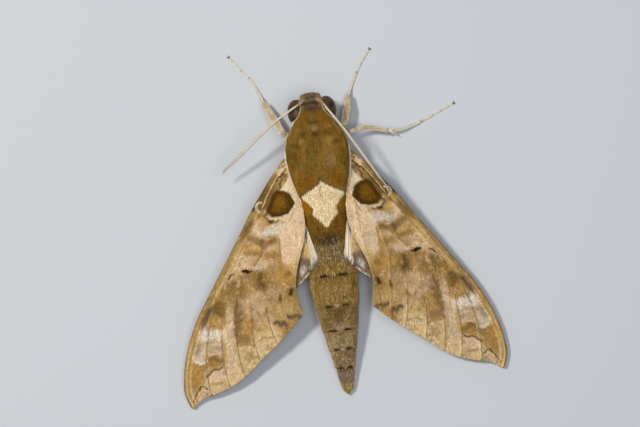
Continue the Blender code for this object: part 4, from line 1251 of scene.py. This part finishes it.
# long scales past the trailing edge, in two layers
def wingFringe(wing, side, tone, start, seed):
    edge = np.concatenate([np.array(wing["inner"]), np.array(wing["outer"])[1:]])
    count = int(np.linalg.norm(np.diff(edge, axis=0), axis=1).sum() / 0.055)
    index = np.arange(count)
    key = keyOf(index)
    r = start + (0.985 - start) * (index + hashed(key, seed)) / count
    chord = wingChord(wing, r)
    depth = wing["fringe"] * (1.35 + 0.5 * (hashed(key, seed + 1) - 0.5))
    s = 1 - np.minimum(depth / chord, 0.5)
    point, up, outwards, across = wingFrame(wing, r, s)
    lie = unit(across + 0.5 * outwards + (0.3 * (hashed(key, seed + 2) - 0.5))[:, None] * outwards)
    length = depth * (0.92 + 0.16 * hashed(key, seed + 3))
    tones = tone(point) * (1.0 + 0.25 * (hashed(key, seed + 4) - 0.5))[:, None]
    flip = mirror(side)
    uv = np.stack([s * 0.5, r], -1)
    layer = (0.06 * (hashed(key, seed + 5) - 0.5))[:, None] * up
    return lockArrays(
        (point + layer) * flip, lie * flip, up * flip, length, 0.14, 0.05, 0.04, tones, uv,
        tipLight=1.05, thick=0.3,
    )


# the CAD node that a left or right piece stands for
def cadNode(name, side):
    return name.rstrip("LR") + ("_left" if side < 0 else "_right")


# one wing: the sheet, the scales above, and the scales below with the fringe
def makeWing(name, wing, side, tone, seed):
    makeWingSheet(name + "Sheet", wing, side, tone, (cadNode(name, side),))
    top = wingScales(wing, side, wing["scaleStep"], wing["scaleSize"], tone, True, seed)
    lockPiece(name + "Scales", [top], wingCoat)
    wide = np.array(wing["undersideStep"])
    below = wingScales(wing, side, wide, wide * [1.7, 1.1], undersideTone, False, seed + 20)
    fringe = wingFringe(wing, side, tone, 0.08, seed + 40)
    lockPiece(name + "Fringe", [below, fringe], wingCoat)


for side, word in ((-1, "L"), (1, "R")):
    makeWing("forewing" + word, forewing, side, forewingTone, 200)
    makeWing("hindwing" + word, hindwing, side, hindwingTone, 300)
print("wings done")


# directions from a ball's middle: tilt from its own x axis, turn round it
def ballWay(tilt, turn):
    around = np.sin(tilt)
    return np.stack(np.broadcast_arrays(np.cos(tilt), around * np.cos(turn), around * np.sin(turn)), -1)


# closed rings about a ball's own x axis, pole to pole
def ballRings(ball):
    tilt = np.linspace(0.02, math.pi - 0.02, ball["rows"])[:, None]
    turn = np.linspace(0, 2 * math.pi, ball["sides"], endpoint=False)[None]
    return np.array(ball["centre"]) + ballWay(tilt, turn) * ball["radii"]


eyeLook = {
    "dark": (0.020, 0.011, 0.004), "brown": (0.080, 0.038, 0.010), "rim": (0.085, 0.048, 0.016),
    "facet": 0.075,         # distance between the eye's lenses
    "lashLength": 0.34, "lashWidth": 0.12, "lashes": 210, "rearLength": 0.65, "rearWidth": 0.17,
}


# the eye: a fine six-sided bump under a soft shine
def makeEyeFinish():
    finish = Finish("eye", Roughness=0.40, Coat_Weight=0.04, Coat_Roughness=0.15, Specular_IOR_Level=0.18)
    inputs = {"Vector": finish.place(), "Scale": 1 / (eyeLook["facet"] * mm)}
    cells = finish.node("TexVoronoi", {"feature": "DISTANCE_TO_EDGE"}, inputs)
    finish.set(Base_Color=finish.tone(), Normal=finish.bump(cells, 0.012, 0.35))
    return finish


# dark in the middle of the eye, browner in bands round it
def eyeTone(points, side):
    away = (points * mirror(side) - eye["centre"]) / eye["radii"]
    bands = 0.5 + 0.5 * np.sin(9.0 * away[..., 1] + 2.2 * away[..., 2] + 1.2 * noise(points, 1.2, 91))
    bands = bands * ease(-0.4, 0.3, away[..., 2])
    colour = mixed(plain(eyeLook["dark"], points), eyeLook["brown"], bands)
    return mixed(colour, eyeLook["rim"], ease(0.42, 0.15, away[..., 0]) * 0.6)


# short scales round the eye's rim: each stands where the eye leaves the head and lies over its edge;
# behind the eye a second set lies back over the neck
def lashLocks(side):
    turn = np.linspace(0, 2 * math.pi, eyeLook["lashes"], endpoint=False)[:, None]
    tilt = np.linspace(0.2, 2.2, 240)[None]
    places = np.array(eye["centre"]) + ballWay(tilt, turn) * eye["radii"]
    width, level, top, under = bodySection(np.minimum(places[..., 1], noseY - 0.02))
    depth = 0.04
    high = np.where(places[..., 2] > level, top - level, level - under) - depth
    inHead = (places[..., 0] / (width - depth)) ** 2 + ((places[..., 2] - level) / high) ** 2 < 1
    inHead &= places[..., 1] < 23
    first = np.where(inHead.any(1), inHead.argmax(1), tilt.shape[1] - 1)
    pick = np.arange(len(turn)), first
    root = places[pick]
    up = unit((root - eye["centre"]) / np.array(eye["radii"]) ** 2)
    inner = np.clip(first - 12, 0, None)
    lie = unit(places[pick[0], inner] - root) + np.array([0, -0.5, 0.0])
    key = keyOf(pick[0])
    lie = lie + 0.5 * (hashed(key, 96)[:, None] - 0.5) * np.array([0, 1, 1])
    angle = np.arctan2(root[:, 2] - 6.8, root[:, 0])
    tone = bodyTone(root, angle) * (0.85 + 0.3 * hashed(key, 97))[:, None]
    white = ease(6.9, 7.6, root[:, 2]) * ease(21.6, 20.8, root[:, 1])
    tone = mixed(tone, bodyTones["creamWhite"], white * 0.45)
    uv = bodyUv(angle, root[:, 1])
    flip = mirror(side)
    length = eyeLook["lashLength"] * (0.8 + 0.4 * hashed(key, 98))
    lashes = lockArrays(
        root * flip, lie * flip, up * flip, length, eyeLook["lashWidth"], 0.10, 0.10, tone, uv,
    )
    around = np.arctan2((root[:, 2] - level[pick]) / high[pick], root[:, 0] / width[pick])
    rear = (root[:, 1] < eye["centre"][1]) & (root[:, 2] < 7.5)
    root, around, key, tone, uv = (part[rear] for part in (root, around, key, tone, uv))
    start, out, back = bodyFrame(root[:, 1], around)
    length = eyeLook["rearLength"] * (0.7 + 0.7 * hashed(key, 101))
    lift = 0.10 + 0.22 * hashed(key, 102)
    tone = tone * (0.75 + 0.45 * hashed(key, 100))[:, None]
    behind = lockArrays(
        start * flip, back * flip, out * flip, length, eyeLook["rearWidth"], lift, 0.06, tone, uv,
    )
    return [lashes, behind]


palpTones = {"top": (0.23, 0.14, 0.047), "front": (0.25, 0.15, 0.06), "side": (0.50, 0.37, 0.18)}


# darker towards the top, paler on the outer side, with fine flecks
def palpTone(points):
    t = palpTones
    height = (points[..., 2] - palp["centre"][2]) / palp["radii"][2]
    colour = mixed(plain(t["side"], points), t["front"], ease(-0.5, 0.4, height))
    colour = mixed(colour, t["top"], ease(0.5, 0.9, height))
    pale = ease(0.35, 0.8, (np.abs(points[..., 0]) - palp["centre"][0]) / palp["radii"][0])
    colour = mixed(colour, t["side"], pale * 0.75)
    return colour * (1 + 0.3 * (noise(points, 0.3, 101) - 0.5))[..., None]


# short locks all over a ball, evenly by the golden angle, lying up and over its front
def palpLocks(side):
    count = palp["locks"]
    i = np.arange(count)
    up = 1 - 2 * (i + 0.5) / count
    turn = i * goldenAngle
    way = np.stack([np.sqrt(1 - up ** 2) * np.cos(turn), np.sqrt(1 - up ** 2) * np.sin(turn), up], -1)
    centre, radii = np.array(palp["centre"]), np.array(palp["radii"])
    root = centre + way * (radii - 0.04)
    inEye = np.linalg.norm((root - eye["centre"]) / eye["radii"], axis=-1) < 1.03
    width, level, top, _ = bodySection(np.minimum(root[:, 1], noseY - 0.02))
    inHead = (root[:, 0] / (width - 0.3)) ** 2 + ((root[:, 2] - level) / (top - level)) ** 2 < 1
    keep = ~inEye & ~(inHead & (root[:, 1] < 22.6))
    root, way, i = root[keep], way[keep], i[keep]
    normal = unit(way / radii)
    key = keyOf(i)
    lie = np.array([0, -0.25, 1.0]) + 0.35 * scattered(key, 103)
    tone = palpTone(root) * (0.88 + 0.24 * hashed(key, 106))[:, None]
    uv = np.stack([np.mod(turn[keep] / (2 * math.pi), 1), 0.5 - up[keep] / 2], -1)
    flip = mirror(side)
    return lockArrays(root * flip, lie * flip, normal * flip, 0.42, 0.12, 0.16, 0.10, tone, uv)


# a smooth path with its direction, a sideways and an upward vector; side is square to the limb's own plane
def limbFrame(points, share):
    points = np.asarray(points, float)
    path = alongAt(points, share)
    ahead = alongAt(points, np.clip(share + 0.004, 0, 1))
    behind = alongAt(points, np.clip(share - 0.004, 0, 1))
    run = unit((ahead - behind)[:, :3])
    across = unit(np.cross(points[-1, :3] - points[0, :3], [0, 0, 1]))
    side = unit(across - run * (run @ across)[:, None])
    top = np.cross(side, run)
    return path, run, side, top * np.sign(top[:, 2:] + 1e-6)


# middle line of a limb and its three directions; the line drops where the limb is thinner than its
# table says, so that the underside keeps its level
def limbLine(points, share, radius):
    path, run, side, top = limbFrame(points, share)
    centre = path[:, :3] - np.array([0, 0, 1.0]) * np.clip(path[:, 3] - radius, 0, 1)[:, None]
    return centre, run, side, top


# circles of the given radius about a middle line: cos(turn) * side + sin(turn) * top
def roundRings(centre, side, top, radius, sides):
    turn = np.linspace(0, 2 * math.pi, sides, endpoint=False)[None, :, None]
    ring = np.cos(turn) * side[:, None] + np.sin(turn) * top[:, None]
    return centre[:, None] + ring * radius[:, None, None]


antenna = {
    "left": (
        (-0.9, 21.8, 7.6, 0.34), (-1.35, 21.8, 8.7, 0.34), (-2.1, 21.3, 9.3, 0.34), (-3.5, 20.55, 9.5, 0.34),
        (-6.5, 18.9, 9.2, 0.33), (-9.6, 16.8, 8.3, 0.33), (-13.0, 14.2, 7.0, 0.31), (-16.0, 12.0, 5.8, 0.28),
        (-17.3, 11.0, 5.2, 0.26), (-17.7, 10.1, 4.8, 0.25),
    ),
    "right": (
        (0.9, 21.8, 7.6, 0.34), (1.4, 21.7, 8.7, 0.34), (2.1, 21.0, 9.4, 0.34), (2.9, 19.65, 9.85, 0.34),
        (4.6, 17.0, 10.1, 0.33), (6.9, 13.0, 9.6, 0.33), (8.8, 9.6, 8.7, 0.31), (10.5, 6.5, 7.8, 0.28),
        (11.6, 4.6, 7.3, 0.26), (11.85, 3.6, 7.2, 0.25),
    ),
    # share of the length: radius
    "radius": (
        (0, 0.36), (0.05, 0.38), (0.08, 0.34), (0.105, 0.19), (0.3, 0.215), (0.7, 0.24), (0.88, 0.19),
        (0.96, 0.11), (1, 0.045),
    ),
    "segments": 56, "ringsEach": 6, "sides": 14, "hairsEach": 26,
    "top": (0.67, 0.60, 0.47), "below": (0.30, 0.20, 0.10), "joint": (0.56, 0.46, 0.30),
    "base": (0.34, 0.21, 0.085),
}


# every segment swells a little towards its far end; pale above, brown below, a thin dark line at each joint
def makeAntenna(word):
    rows = antenna["segments"] * antenna["ringsEach"]
    share = np.linspace(0, 1, rows)
    part = share * antenna["segments"] % 1
    swell = 0.96 + 0.06 * ease(0, 0.75, part) - 0.05 * ease(0.8, 1, part)
    radius = np.interp(share, *np.array(antenna["radius"]).T) * swell
    centre, _, side, top = limbLine(antenna[word], share, radius)
    rings = roundRings(centre, side, top, radius, antenna["sides"])
    turn = np.linspace(0, 2 * math.pi, antenna["sides"], endpoint=False)
    above = np.broadcast_to(np.sin(turn)[None], rings.shape[:2])
    tone = mixed(plain(antenna["below"], rings), antenna["top"], ease(-0.35, 0.2, above))
    tone = mixed(tone, antenna["joint"], ease(0.84, 0.95, part)[:, None] * 0.75)
    tone = mixed(tone, antenna["base"], ease(0.125, 0.095, share)[:, None] * 0.9)
    points, faces, uv = closedTube(rings)
    name, replaced = "antenna" + word.title(), ("antenna_" + word,)
    makePiece(name, points, faces, limbCoat, uv, tubeTone(tone), replaced)


# short bristles in two rows under the antenna and flat scales on its back, all round its thick first part
def antennaHairs(word):
    count = antenna["segments"] * antenna["hairsEach"]
    index = np.arange(count)
    key = keyOf(index)
    share = 0.012 + 0.938 * (index + hashed(key, 111)) / count
    bristle = index % 3 == 0
    below = 2.3 * (index % 2) - 1.15 - math.pi / 2
    above = math.pi / 2 + np.where(share < 0.1, 6.3, 2.6) * (hashed(key, 112) - 0.5)
    turn = np.where(bristle, below, above)
    radius = np.interp(share, *np.array(antenna["radius"]).T)
    centre, run, side, top = limbLine(antenna[word], share, radius)
    normal = side * np.cos(turn)[:, None] + top * np.sin(turn)[:, None]
    lie = np.where(bristle[:, None], run * 0.5 + normal, run)
    up = np.where(bristle[:, None], run, normal)
    tone = np.where(bristle[:, None], antenna["below"], antenna["top"])
    tone = tone * (0.93 + 0.14 * hashed(key, 113))[:, None]
    tone = mixed(tone, antenna["base"], ease(0.14, 0.10, share) * 0.85)
    uv = np.stack([np.mod(turn / (2 * math.pi), 1), share], -1)
    length = np.where(bristle, np.where(share < 0.1, 0.10, 0.24), 0.34)
    width = np.where(bristle, 0.045, 0.13)
    scape = ease(0.11, 0.08, share)
    root = centre + normal * (radius * (0.93 + 0.06 * scape))[:, None]
    return lockArrays(
        root, lie, up, length, width, 0.05 + 0.12 * scape, 0.03 + 0.03 * scape, tone, uv,
        tipLight=1.0, rings=2, thick=0.10,
    )


legs = {
    "foreleg_left": (
        (-2.0, 14.6, 3.4, 0.95), (-3.9, 15.0, 2.3, 0.80), (-5.4, 16.2, 2.9, 0.62), (-7.0, 19.2, 2.9, 0.80),
        (-8.45, 22.6, 1.5, 0.54), (-9.1, 24.3, 0.6, 0.32), (-10.2, 26.8, 0.27, 0.29),
        (-12.0, 29.2, 0.25, 0.27), (-13.8, 31.7, 0.24, 0.26),
    ),
    "foreleg_right": (
        (2.0, 14.6, 3.4, 0.95), (3.9, 15.0, 2.3, 0.80), (5.3, 16.6, 2.9, 0.62), (6.2, 19.0, 2.9, 0.80),
        (7.0, 21.9, 1.5, 0.54), (7.5, 23.1, 0.6, 0.32), (8.6, 25.2, 0.27, 0.29), (10.0, 27.5, 0.25, 0.27),
        (11.9, 29.9, 0.24, 0.26),
    ),
    "midleg_left": (
        (-2.2, 10.6, 2.9, 0.95), (-4.6, 9.4, 1.9, 0.75), (-7.1, 6.8, 2.8, 0.38), (-8.0, 4.4, 2.7, 0.37),
        (-9.6, -0.2, 1.5, 0.35), (-10.2, -2.0, 0.8, 0.30), (-11.4, -5.0, 0.27, 0.29),
        (-12.5, -7.4, 0.25, 0.27), (-13.7, -9.6, 0.24, 0.26),
    ),
    "midleg_right": (
        (2.2, 10.6, 2.9, 0.95), (4.4, 12.5, 2.0, 0.75), (6.3, 15.2, 3.4, 0.38), (8.6, 15.7, 3.6, 0.37),
        (13.6, 14.6, 2.3, 0.35), (15.4, 14.5, 1.5, 0.30), (19.7, 15.6, 0.34, 0.29),
        (22.5, 16.75, 0.25, 0.27), (25.9, 18.1, 0.24, 0.26),
    ),
    "hindleg_right": (
        (2.0, 6.0, 2.9, 0.95), (4.2, 4.0, 1.8, 0.72), (6.3, 0.8, 2.6, 0.46), (6.9, -1.8, 2.5, 0.44),
        (7.9, -7.0, 1.3, 0.38), (8.3, -8.8, 0.6, 0.32), (9.0, -11.4, 0.27, 0.29), (9.8, -13.4, 0.25, 0.27),
        (10.9, -15.4, 0.24, 0.26),
    ),
}
legs["hindleg_left"] = tuple((-x, y, z, r) for x, y, z, r in legs["hindleg_right"])
leg = {
    "rows": 240, "sides": 16,
    "skinShare": 0.88,                      # of the table's radius, for the scales to fill
    "tarsusRadius": (0.215, 0.12),          # at its start and at its end
    "tarsusJoints": (0.42, 0.62, 0.78, 0.90),   # shares of the tarsus
    "thigh": (0.88, 0.77, 0.59), "shin": (0.84, 0.73, 0.54), "shinTop": (0.72, 0.60, 0.39),
    "tarsus": (0.80, 0.72, 0.54), "olive": (0.60, 0.47, 0.24), "rose": (0.76, 0.58, 0.43),
    # below: painted shade for the legs' undersides
    "below": (0.40, 0.31, 0.20), "joint": (0.085, 0.055, 0.03), "claw": (0.035, 0.02, 0.012),
    "spurLength": 1.9, "spurSpread": 0.55, "clawSpread": 0.36,
}


# shares of the length at which the given points of the path stand
def placesAlong(points):
    steps = np.linalg.norm(np.diff(np.asarray(points, float)[:, :3], axis=0), axis=1)
    return np.concatenate([[0], np.cumsum(steps)]) / steps.sum()


# thigh and shin follow the table, the tarsus is thinner and swells at the end of each of its five joints
def legRadius(points, share):
    at = placesAlong(points)
    table = np.interp(share, at, np.array(points)[:, 3])
    inTarsus = np.clip((share - at[5]) / (1 - at[5]), 0, 1)
    joints = np.array([0, *leg["tarsusJoints"], 1])
    which = np.clip(np.searchsorted(joints, inTarsus, side="right") - 1, 0, 4)
    part = (inTarsus - joints[which]) / (joints[which + 1] - joints[which])
    swell = 0.86 + 0.2 * ease(0.2, 0.92, part) - 0.22 * ease(0.93, 1, part)
    thin = np.interp(inTarsus, [0, 1], leg["tarsusRadius"]) * swell
    wrist = ease(at[4] - 0.026, at[4] - 0.012, share)
    shin = table * leg["skinShare"] * (1 - 0.22 * bell(share, at[2], 0.012))
    return shin * (1 - wrist) + thin * wrist, inTarsus, part


# cream thigh, shin with olive and rose patches on its back, pale tarsus with dark joints and a dark end, and
# an underside darkened as painted shade
def legTone(points, share, above, place):
    at = placesAlong(points)
    inTarsus, part = legRadius(points, share)[1:]
    tone = mixed(plain(leg["thigh"], place), leg["shin"], ease(at[2] - 0.02, at[2] + 0.02, share))
    onShin = ease(at[2], at[2] + 0.05, share)
    tone = mixed(tone, leg["shinTop"], ease(0.45, 0.85, above) * onShin * 0.8)
    patchy = noise(place, 1.3, 123)
    tone = mixed(tone, leg["olive"], ease(0.7, 0.92, above) * ease(0.42, 0.6, patchy) * onShin * 0.8)
    tone = mixed(tone, leg["rose"], ease(0.5, 0.8, above) * ease(0.5, 0.35, patchy) * onShin * 0.7)
    tone = mixed(tone, leg["tarsus"], ease(at[4] - 0.03, at[4], share))
    # painted shade under the leg: the underside mixed towards the below tone
    tone = mixed(tone, leg["below"], ease(0.0, -0.5, above) * 0.7)
    dark = ease(0.82, 0.95, part) * (inTarsus > 0) + ease(0.985, 1.0, share)
    tone = mixed(tone, leg["joint"], dark * (0.35 + 0.6 * ease(0.97, 0.99, share)))
    tone = mixed(tone, leg["joint"], bell(share, at[2], 0.008) * 0.5)
    return tone * (1 + 0.35 * (noise(place, 0.45, 121) - 0.5))[..., None]


# "foreleg_left" becomes "forelegLeft"
def legPieceName(name):
    first, second = name.split("_")
    return first + second.title()


# the leg's skin: rings along the path, kept above the floor
def makeLeg(name, points):
    share = np.linspace(0.0, 1, leg["rows"])
    radius = legRadius(points, share)[0]
    centre, _, side, top = limbLine(points, share, radius)
    rings = roundRings(centre, side, top, radius, leg["sides"])
    turn = np.linspace(0, 2 * math.pi, leg["sides"], endpoint=False)
    above = np.broadcast_to(np.sin(turn)[None], rings.shape[:2])
    shares = np.broadcast_to(share[:, None], above.shape)
    tone = tubeTone(legTone(points, shares, above, rings))
    made, faces, uv = closedTube(rings)
    made[:, 2] = np.maximum(made[:, 2], 0.005)
    makePiece(legPieceName(name), made, faces, limbCoat, uv, tone, (name,))


# shares of the length for rows of scales, evenly spaced along the outside of bends: step + radius * turn
def outerRows(points, start, end, wristAt):
    share = np.linspace(start, end, 900)
    path, run, _, _ = limbFrame(points, share)
    step = np.linalg.norm(np.diff(path[:, :3], axis=0), axis=1)
    step = step + legRadius(points, share)[0][1:] * np.linalg.norm(np.diff(run, axis=0), axis=1)
    reach = np.cumsum(np.concatenate([[0], step / np.where(share[1:] < wristAt, 0.20, 0.15)]))
    return np.interp(np.arange(0, reach[-1]), reach, share)


# scales along the limb: long on the thigh, short on the shin, a fine cover on the tarsus
def legLocks(points, seed):
    at = placesAlong(points)
    share = outerRows(points, 0.02, 0.985, at[4])
    radius = legRadius(points, share)[0]
    row, around = lattice(2 * math.pi * radius, np.where(share < at[4], 0.17, 0.125), seed)
    share = np.interp(row, np.arange(len(share)), share)
    radius = legRadius(points, share)[0]
    turn = 2 * math.pi * around
    centre, run, side, top = limbLine(points, share, radius)
    normal = side * np.cos(turn)[:, None] + top * np.sin(turn)[:, None]
    total = np.linalg.norm(np.diff(np.array(points)[:, :3], axis=0), axis=1).sum()
    slope = (legRadius(points, share + 0.012)[0] - radius) / (0.012 * total)
    run = run + normal * np.clip(slope, -0.1, 0.6)[:, None]
    key = keyOf(row, around * 999)
    swing = np.cross(run, normal) * (0.5 * (hashed(key, seed + 1) - 0.5))[:, None]
    length = np.interp(share, [0, *at[1:6], 1], [1.2, 0.95, 0.6, 0.62, 0.5, 0.26, 0.2])
    width = np.interp(share, [0, at[2], at[4], at[5], 1], [0.16, 0.14, 0.13, 0.09, 0.075])
    root = centre + normal * (radius * 0.975)[:, None]
    tone = legTone(points, share, np.sin(turn), root) * (0.86 + 0.28 * hashed(key, seed + 2))[:, None]
    uv = np.stack([around, share], -1)
    length = length * (0.8 + 0.4 * hashed(key, seed + 3))
    return lockArrays(
        root, run + swing, normal, length, width, 0.17, 0.05, tone, uv, tipLight=1.1, rings=2, thick=0.25,
    )


# small tapered horns, each from a list of (x, y, z, radius)
def hornPiece(name, paths, finish, tone, rows=14, sides=8):
    points, faces, uv, base = [], [], [], 0
    for path in paths:
        path = np.array(path)
        share = np.linspace(0, 1, rows)
        line, _, side, top = limbFrame(path, share)
        made, quads, place = closedTube(roundRings(line[:, :3], side, top, line[:, 3], sides))
        quads, place = outward(made, quads, place)
        points.append(made)
        faces.append([part + base for part in quads])
        uv.append(place)
        base += len(made)
    quads = np.concatenate([pair[0] for pair in faces])
    caps = np.concatenate([pair[1] for pair in faces])
    size = [pair[0].size for pair in faces]
    uvQuads = [place[:n] for place, n in zip(uv, size)]
    uvCaps = [place[n:] for place, n in zip(uv, size)]
    points = np.concatenate(points)
    points[:, 2] = np.maximum(points[:, 2], 0.01)
    uv = np.concatenate(uvQuads + uvCaps)
    makePiece(name, points, [quads, caps], finish, uv, plain(tone, points))


# two hooked claws at the end of each foot, spread to either side
def clawPaths():
    paths = []
    for points in legs.values():
        end = np.array(points[-1][:3]) - [0, 0, 0.12]
        run = unit(end - np.array(points[-2][:3])) * [1, 1, 0]
        across = np.cross(run, [0, 0, 1])
        for way in (-1, 1):
            line = [end - 0.1 * run, end + 0.12 * run + 0.13 * way * across + [0, 0, 0.05]]
            line.append(end + 0.24 * run + 0.8 * leg["clawSpread"] * way * across - [0, 0, 0.02])
            line.append(end + 0.20 * run + leg["clawSpread"] * way * across - [0, 0, 0.1])
            paths.append([(*place, r) for place, r in zip(line, (0.08, 0.075, 0.045, 0.01))])
    return paths


# two spurs at the end of each middle and hind shin, from the heel forwards and outwards
def spurPaths():
    paths = []
    for name, points in legs.items():
        if name.startswith("foreleg"):
            continue
        heel = np.array(points[4][:3])
        run = unit(np.array(points[5][:3]) - np.array(points[3][:3]))
        across = unit(np.cross(run, [0, 0, 1]))
        for way in (-1, 1):
            length = leg["spurLength"] * (0.85 + 0.1 * way)
            tip = heel + unit(run + across * leg["spurSpread"] * way) * length
            tip[2] = max(tip[2] - 0.3, 0.12)
            middle = (heel + tip) / 2 + [0, 0, 0.08]
            paths.append([(*(heel - 0.1 * run), 0.17), (*middle, 0.13), (*tip, 0.02)])
    return paths


tongue = {
    "centre": (21.75, 3.45), "radius": 0.98, "pitch": 0.64, "turns": 1.6, "thick": 0.22, "start": 115,
    "ridges": 70, "tone": (0.15, 0.075, 0.02),
}


# a flat spiral: the radius shrinks by pitch for each turn, the tube carries fine rings
def makeTongue():
    turn = np.linspace(0, tongue["turns"] * 2 * math.pi, 260)
    reach = tongue["radius"] - tongue["pitch"] * turn / (2 * math.pi)
    angle = math.radians(tongue["start"]) - turn
    y = tongue["centre"][0] + reach * np.cos(angle)
    z = tongue["centre"][1] + reach * np.sin(angle)
    middle = np.stack([y * 0, y, z], -1)
    root = [0, y[0] - 0.35, z[0] + 0.45]
    middle = np.concatenate([np.linspace(root, middle[0], 20, endpoint=False), middle])
    run = unit(np.gradient(middle, axis=0))
    side = np.broadcast_to([1.0, 0, 0], run.shape)
    out = np.cross(side, run)
    share = np.linspace(0, 1, len(middle))
    ridges = 1 + 0.05 * np.sin(share * 2 * math.pi * tongue["ridges"])
    thick = tongue["thick"] * np.interp(share, [0, 0.6, 1], [1, 0.9, 0.5]) * ridges
    points, faces, uv = closedTube(roundRings(middle, side, out, thick, 16))
    tone = np.array(tongue["tone"]) * (1 + 0.4 * (noise(points, 0.2, 131) - 0.5))[..., None]
    makePiece("proboscis", points, faces, hornFinish, uv, tone, ("proboscis",))


eyeFinish = makeEyeFinish()
hornFinish = Finish("horn", Roughness=0.35, Specular_IOR_Level=0.5)
hornFinish.set(Base_Color=hornFinish.tone())
lashes, palpFur = [], []
for side, word in ((-1, "left"), (1, "right")):
    end = word.title()
    points, faces, uv = closedTube(ballRings(eye) * mirror(side))
    makePiece("eye" + end, points, faces, eyeFinish, uv, eyeTone(points, side), ("eye_" + word,))
    points, faces, uv = closedTube(ballRings(palp) * mirror(side))
    makePiece("palp" + end, points, faces, bodyCoat, uv, palpTone(points), ("palp_" + word,))
    lashes += lashLocks(side)
    palpFur.append(palpLocks(side))
lockPiece("eyeRims", lashes, bodyCoat)
lockPiece("palpFur", palpFur, bodyCoat)
print("head done")
for word in ("left", "right"):
    makeAntenna(word)
lockPiece("antennaHairs", [antennaHairs("left"), antennaHairs("right")], limbCoat)
for name, points in legs.items():
    makeLeg(name, points)
legCoats = [legLocks(points, len(name)) for name, points in legs.items()]
lockPiece("legScales", legCoats, limbCoat)
hornPiece("claws", clawPaths(), hornFinish, leg["claw"])
hornPiece("spurs", spurPaths(), limbCoat, leg["shin"])
makeTongue()
print("limbs done")


# a soft studio: pale floor, a key light from the upper left and a wide fill
stage = {
    "floorSize": 1.2, "floorColour": (0.52, 0.535, 0.565),
    "worldColour": (0.90, 0.95, 1.0), "worldStrength": 0.17,
    "cameraAt": (-0.95, 1.25, 586), "imageUp": (0.1300, 0.9915, 0), "lens": 180,
}
lamps = {
    "key": {
        "from": (-0.42, 0.29, 0.88), "distance": 0.55, "size": 0.075, "power": 2.05,
        "colour": (1.0, 0.97, 0.92),
    },
    "fill": {
        "from": (0.12, -0.05, 1.0), "distance": 0.55, "size": 0.35, "power": 1.35,
        "colour": (0.93, 0.96, 1.0),
    },
}


# a round lamp that stands at its distance in its direction and faces the middle
def areaLight(name, lamp):
    light = bpy.data.lights.new(name, "AREA")
    light.shape = "DISK"
    light.size = lamp["size"]
    light.energy = lamp["power"]
    light.color = lamp["colour"]
    made = bpy.data.objects.new(name, light)
    away = unit(np.array(lamp["from"]))
    made.location = away * lamp["distance"]
    made.rotation_euler = Vector(away).to_track_quat("Z", "Y").to_euler()
    bpy.context.scene.collection.objects.link(made)


# floor, lamps, faint sky and a camera straight above
def makeStage():
    half = stage["floorSize"] / 2
    mesh = bpy.data.meshes.new("floor")
    corners = [(-half, -half, 0), (half, -half, 0), (half, half, 0), (-half, half, 0)]
    mesh.from_pydata(corners, [], [(0, 1, 2, 3)])
    paper = Finish("pale floor", Base_Color=(*stage["floorColour"], 1), Roughness=0.8)
    mesh.materials.append(paper.material)
    floor = bpy.data.objects.new("floor", mesh)
    bpy.context.scene.collection.objects.link(floor)
    for name, lamp in lamps.items():
        areaLight(name, lamp)
    world = bpy.data.worlds.new("studio")
    world.use_nodes = True
    sky = world.node_tree.nodes["Background"]
    sky.inputs["Color"].default_value = (*stage["worldColour"], 1)
    sky.inputs["Strength"].default_value = stage["worldStrength"]
    bpy.context.scene.world = world
    bpy.context.scene.view_settings.view_transform = "Standard"
    lens = bpy.data.cameras.new("camera")
    lens.sensor_width = 36
    lens.lens = stage["lens"]
    lens.clip_start = 0.01
    camera = bpy.data.objects.new("camera", lens)
    upward = Vector(stage["imageUp"])
    away = Vector((0, 0, 1))
    axes = Matrix((upward.cross(away), upward, away)).transposed()
    camera.matrix_world = Matrix.Translation(Vector(stage["cameraAt"]) * mm) @ axes.to_4x4()
    bpy.context.scene.collection.objects.link(camera)
    bpy.context.scene.camera = camera


makeStage()
print("stage done")
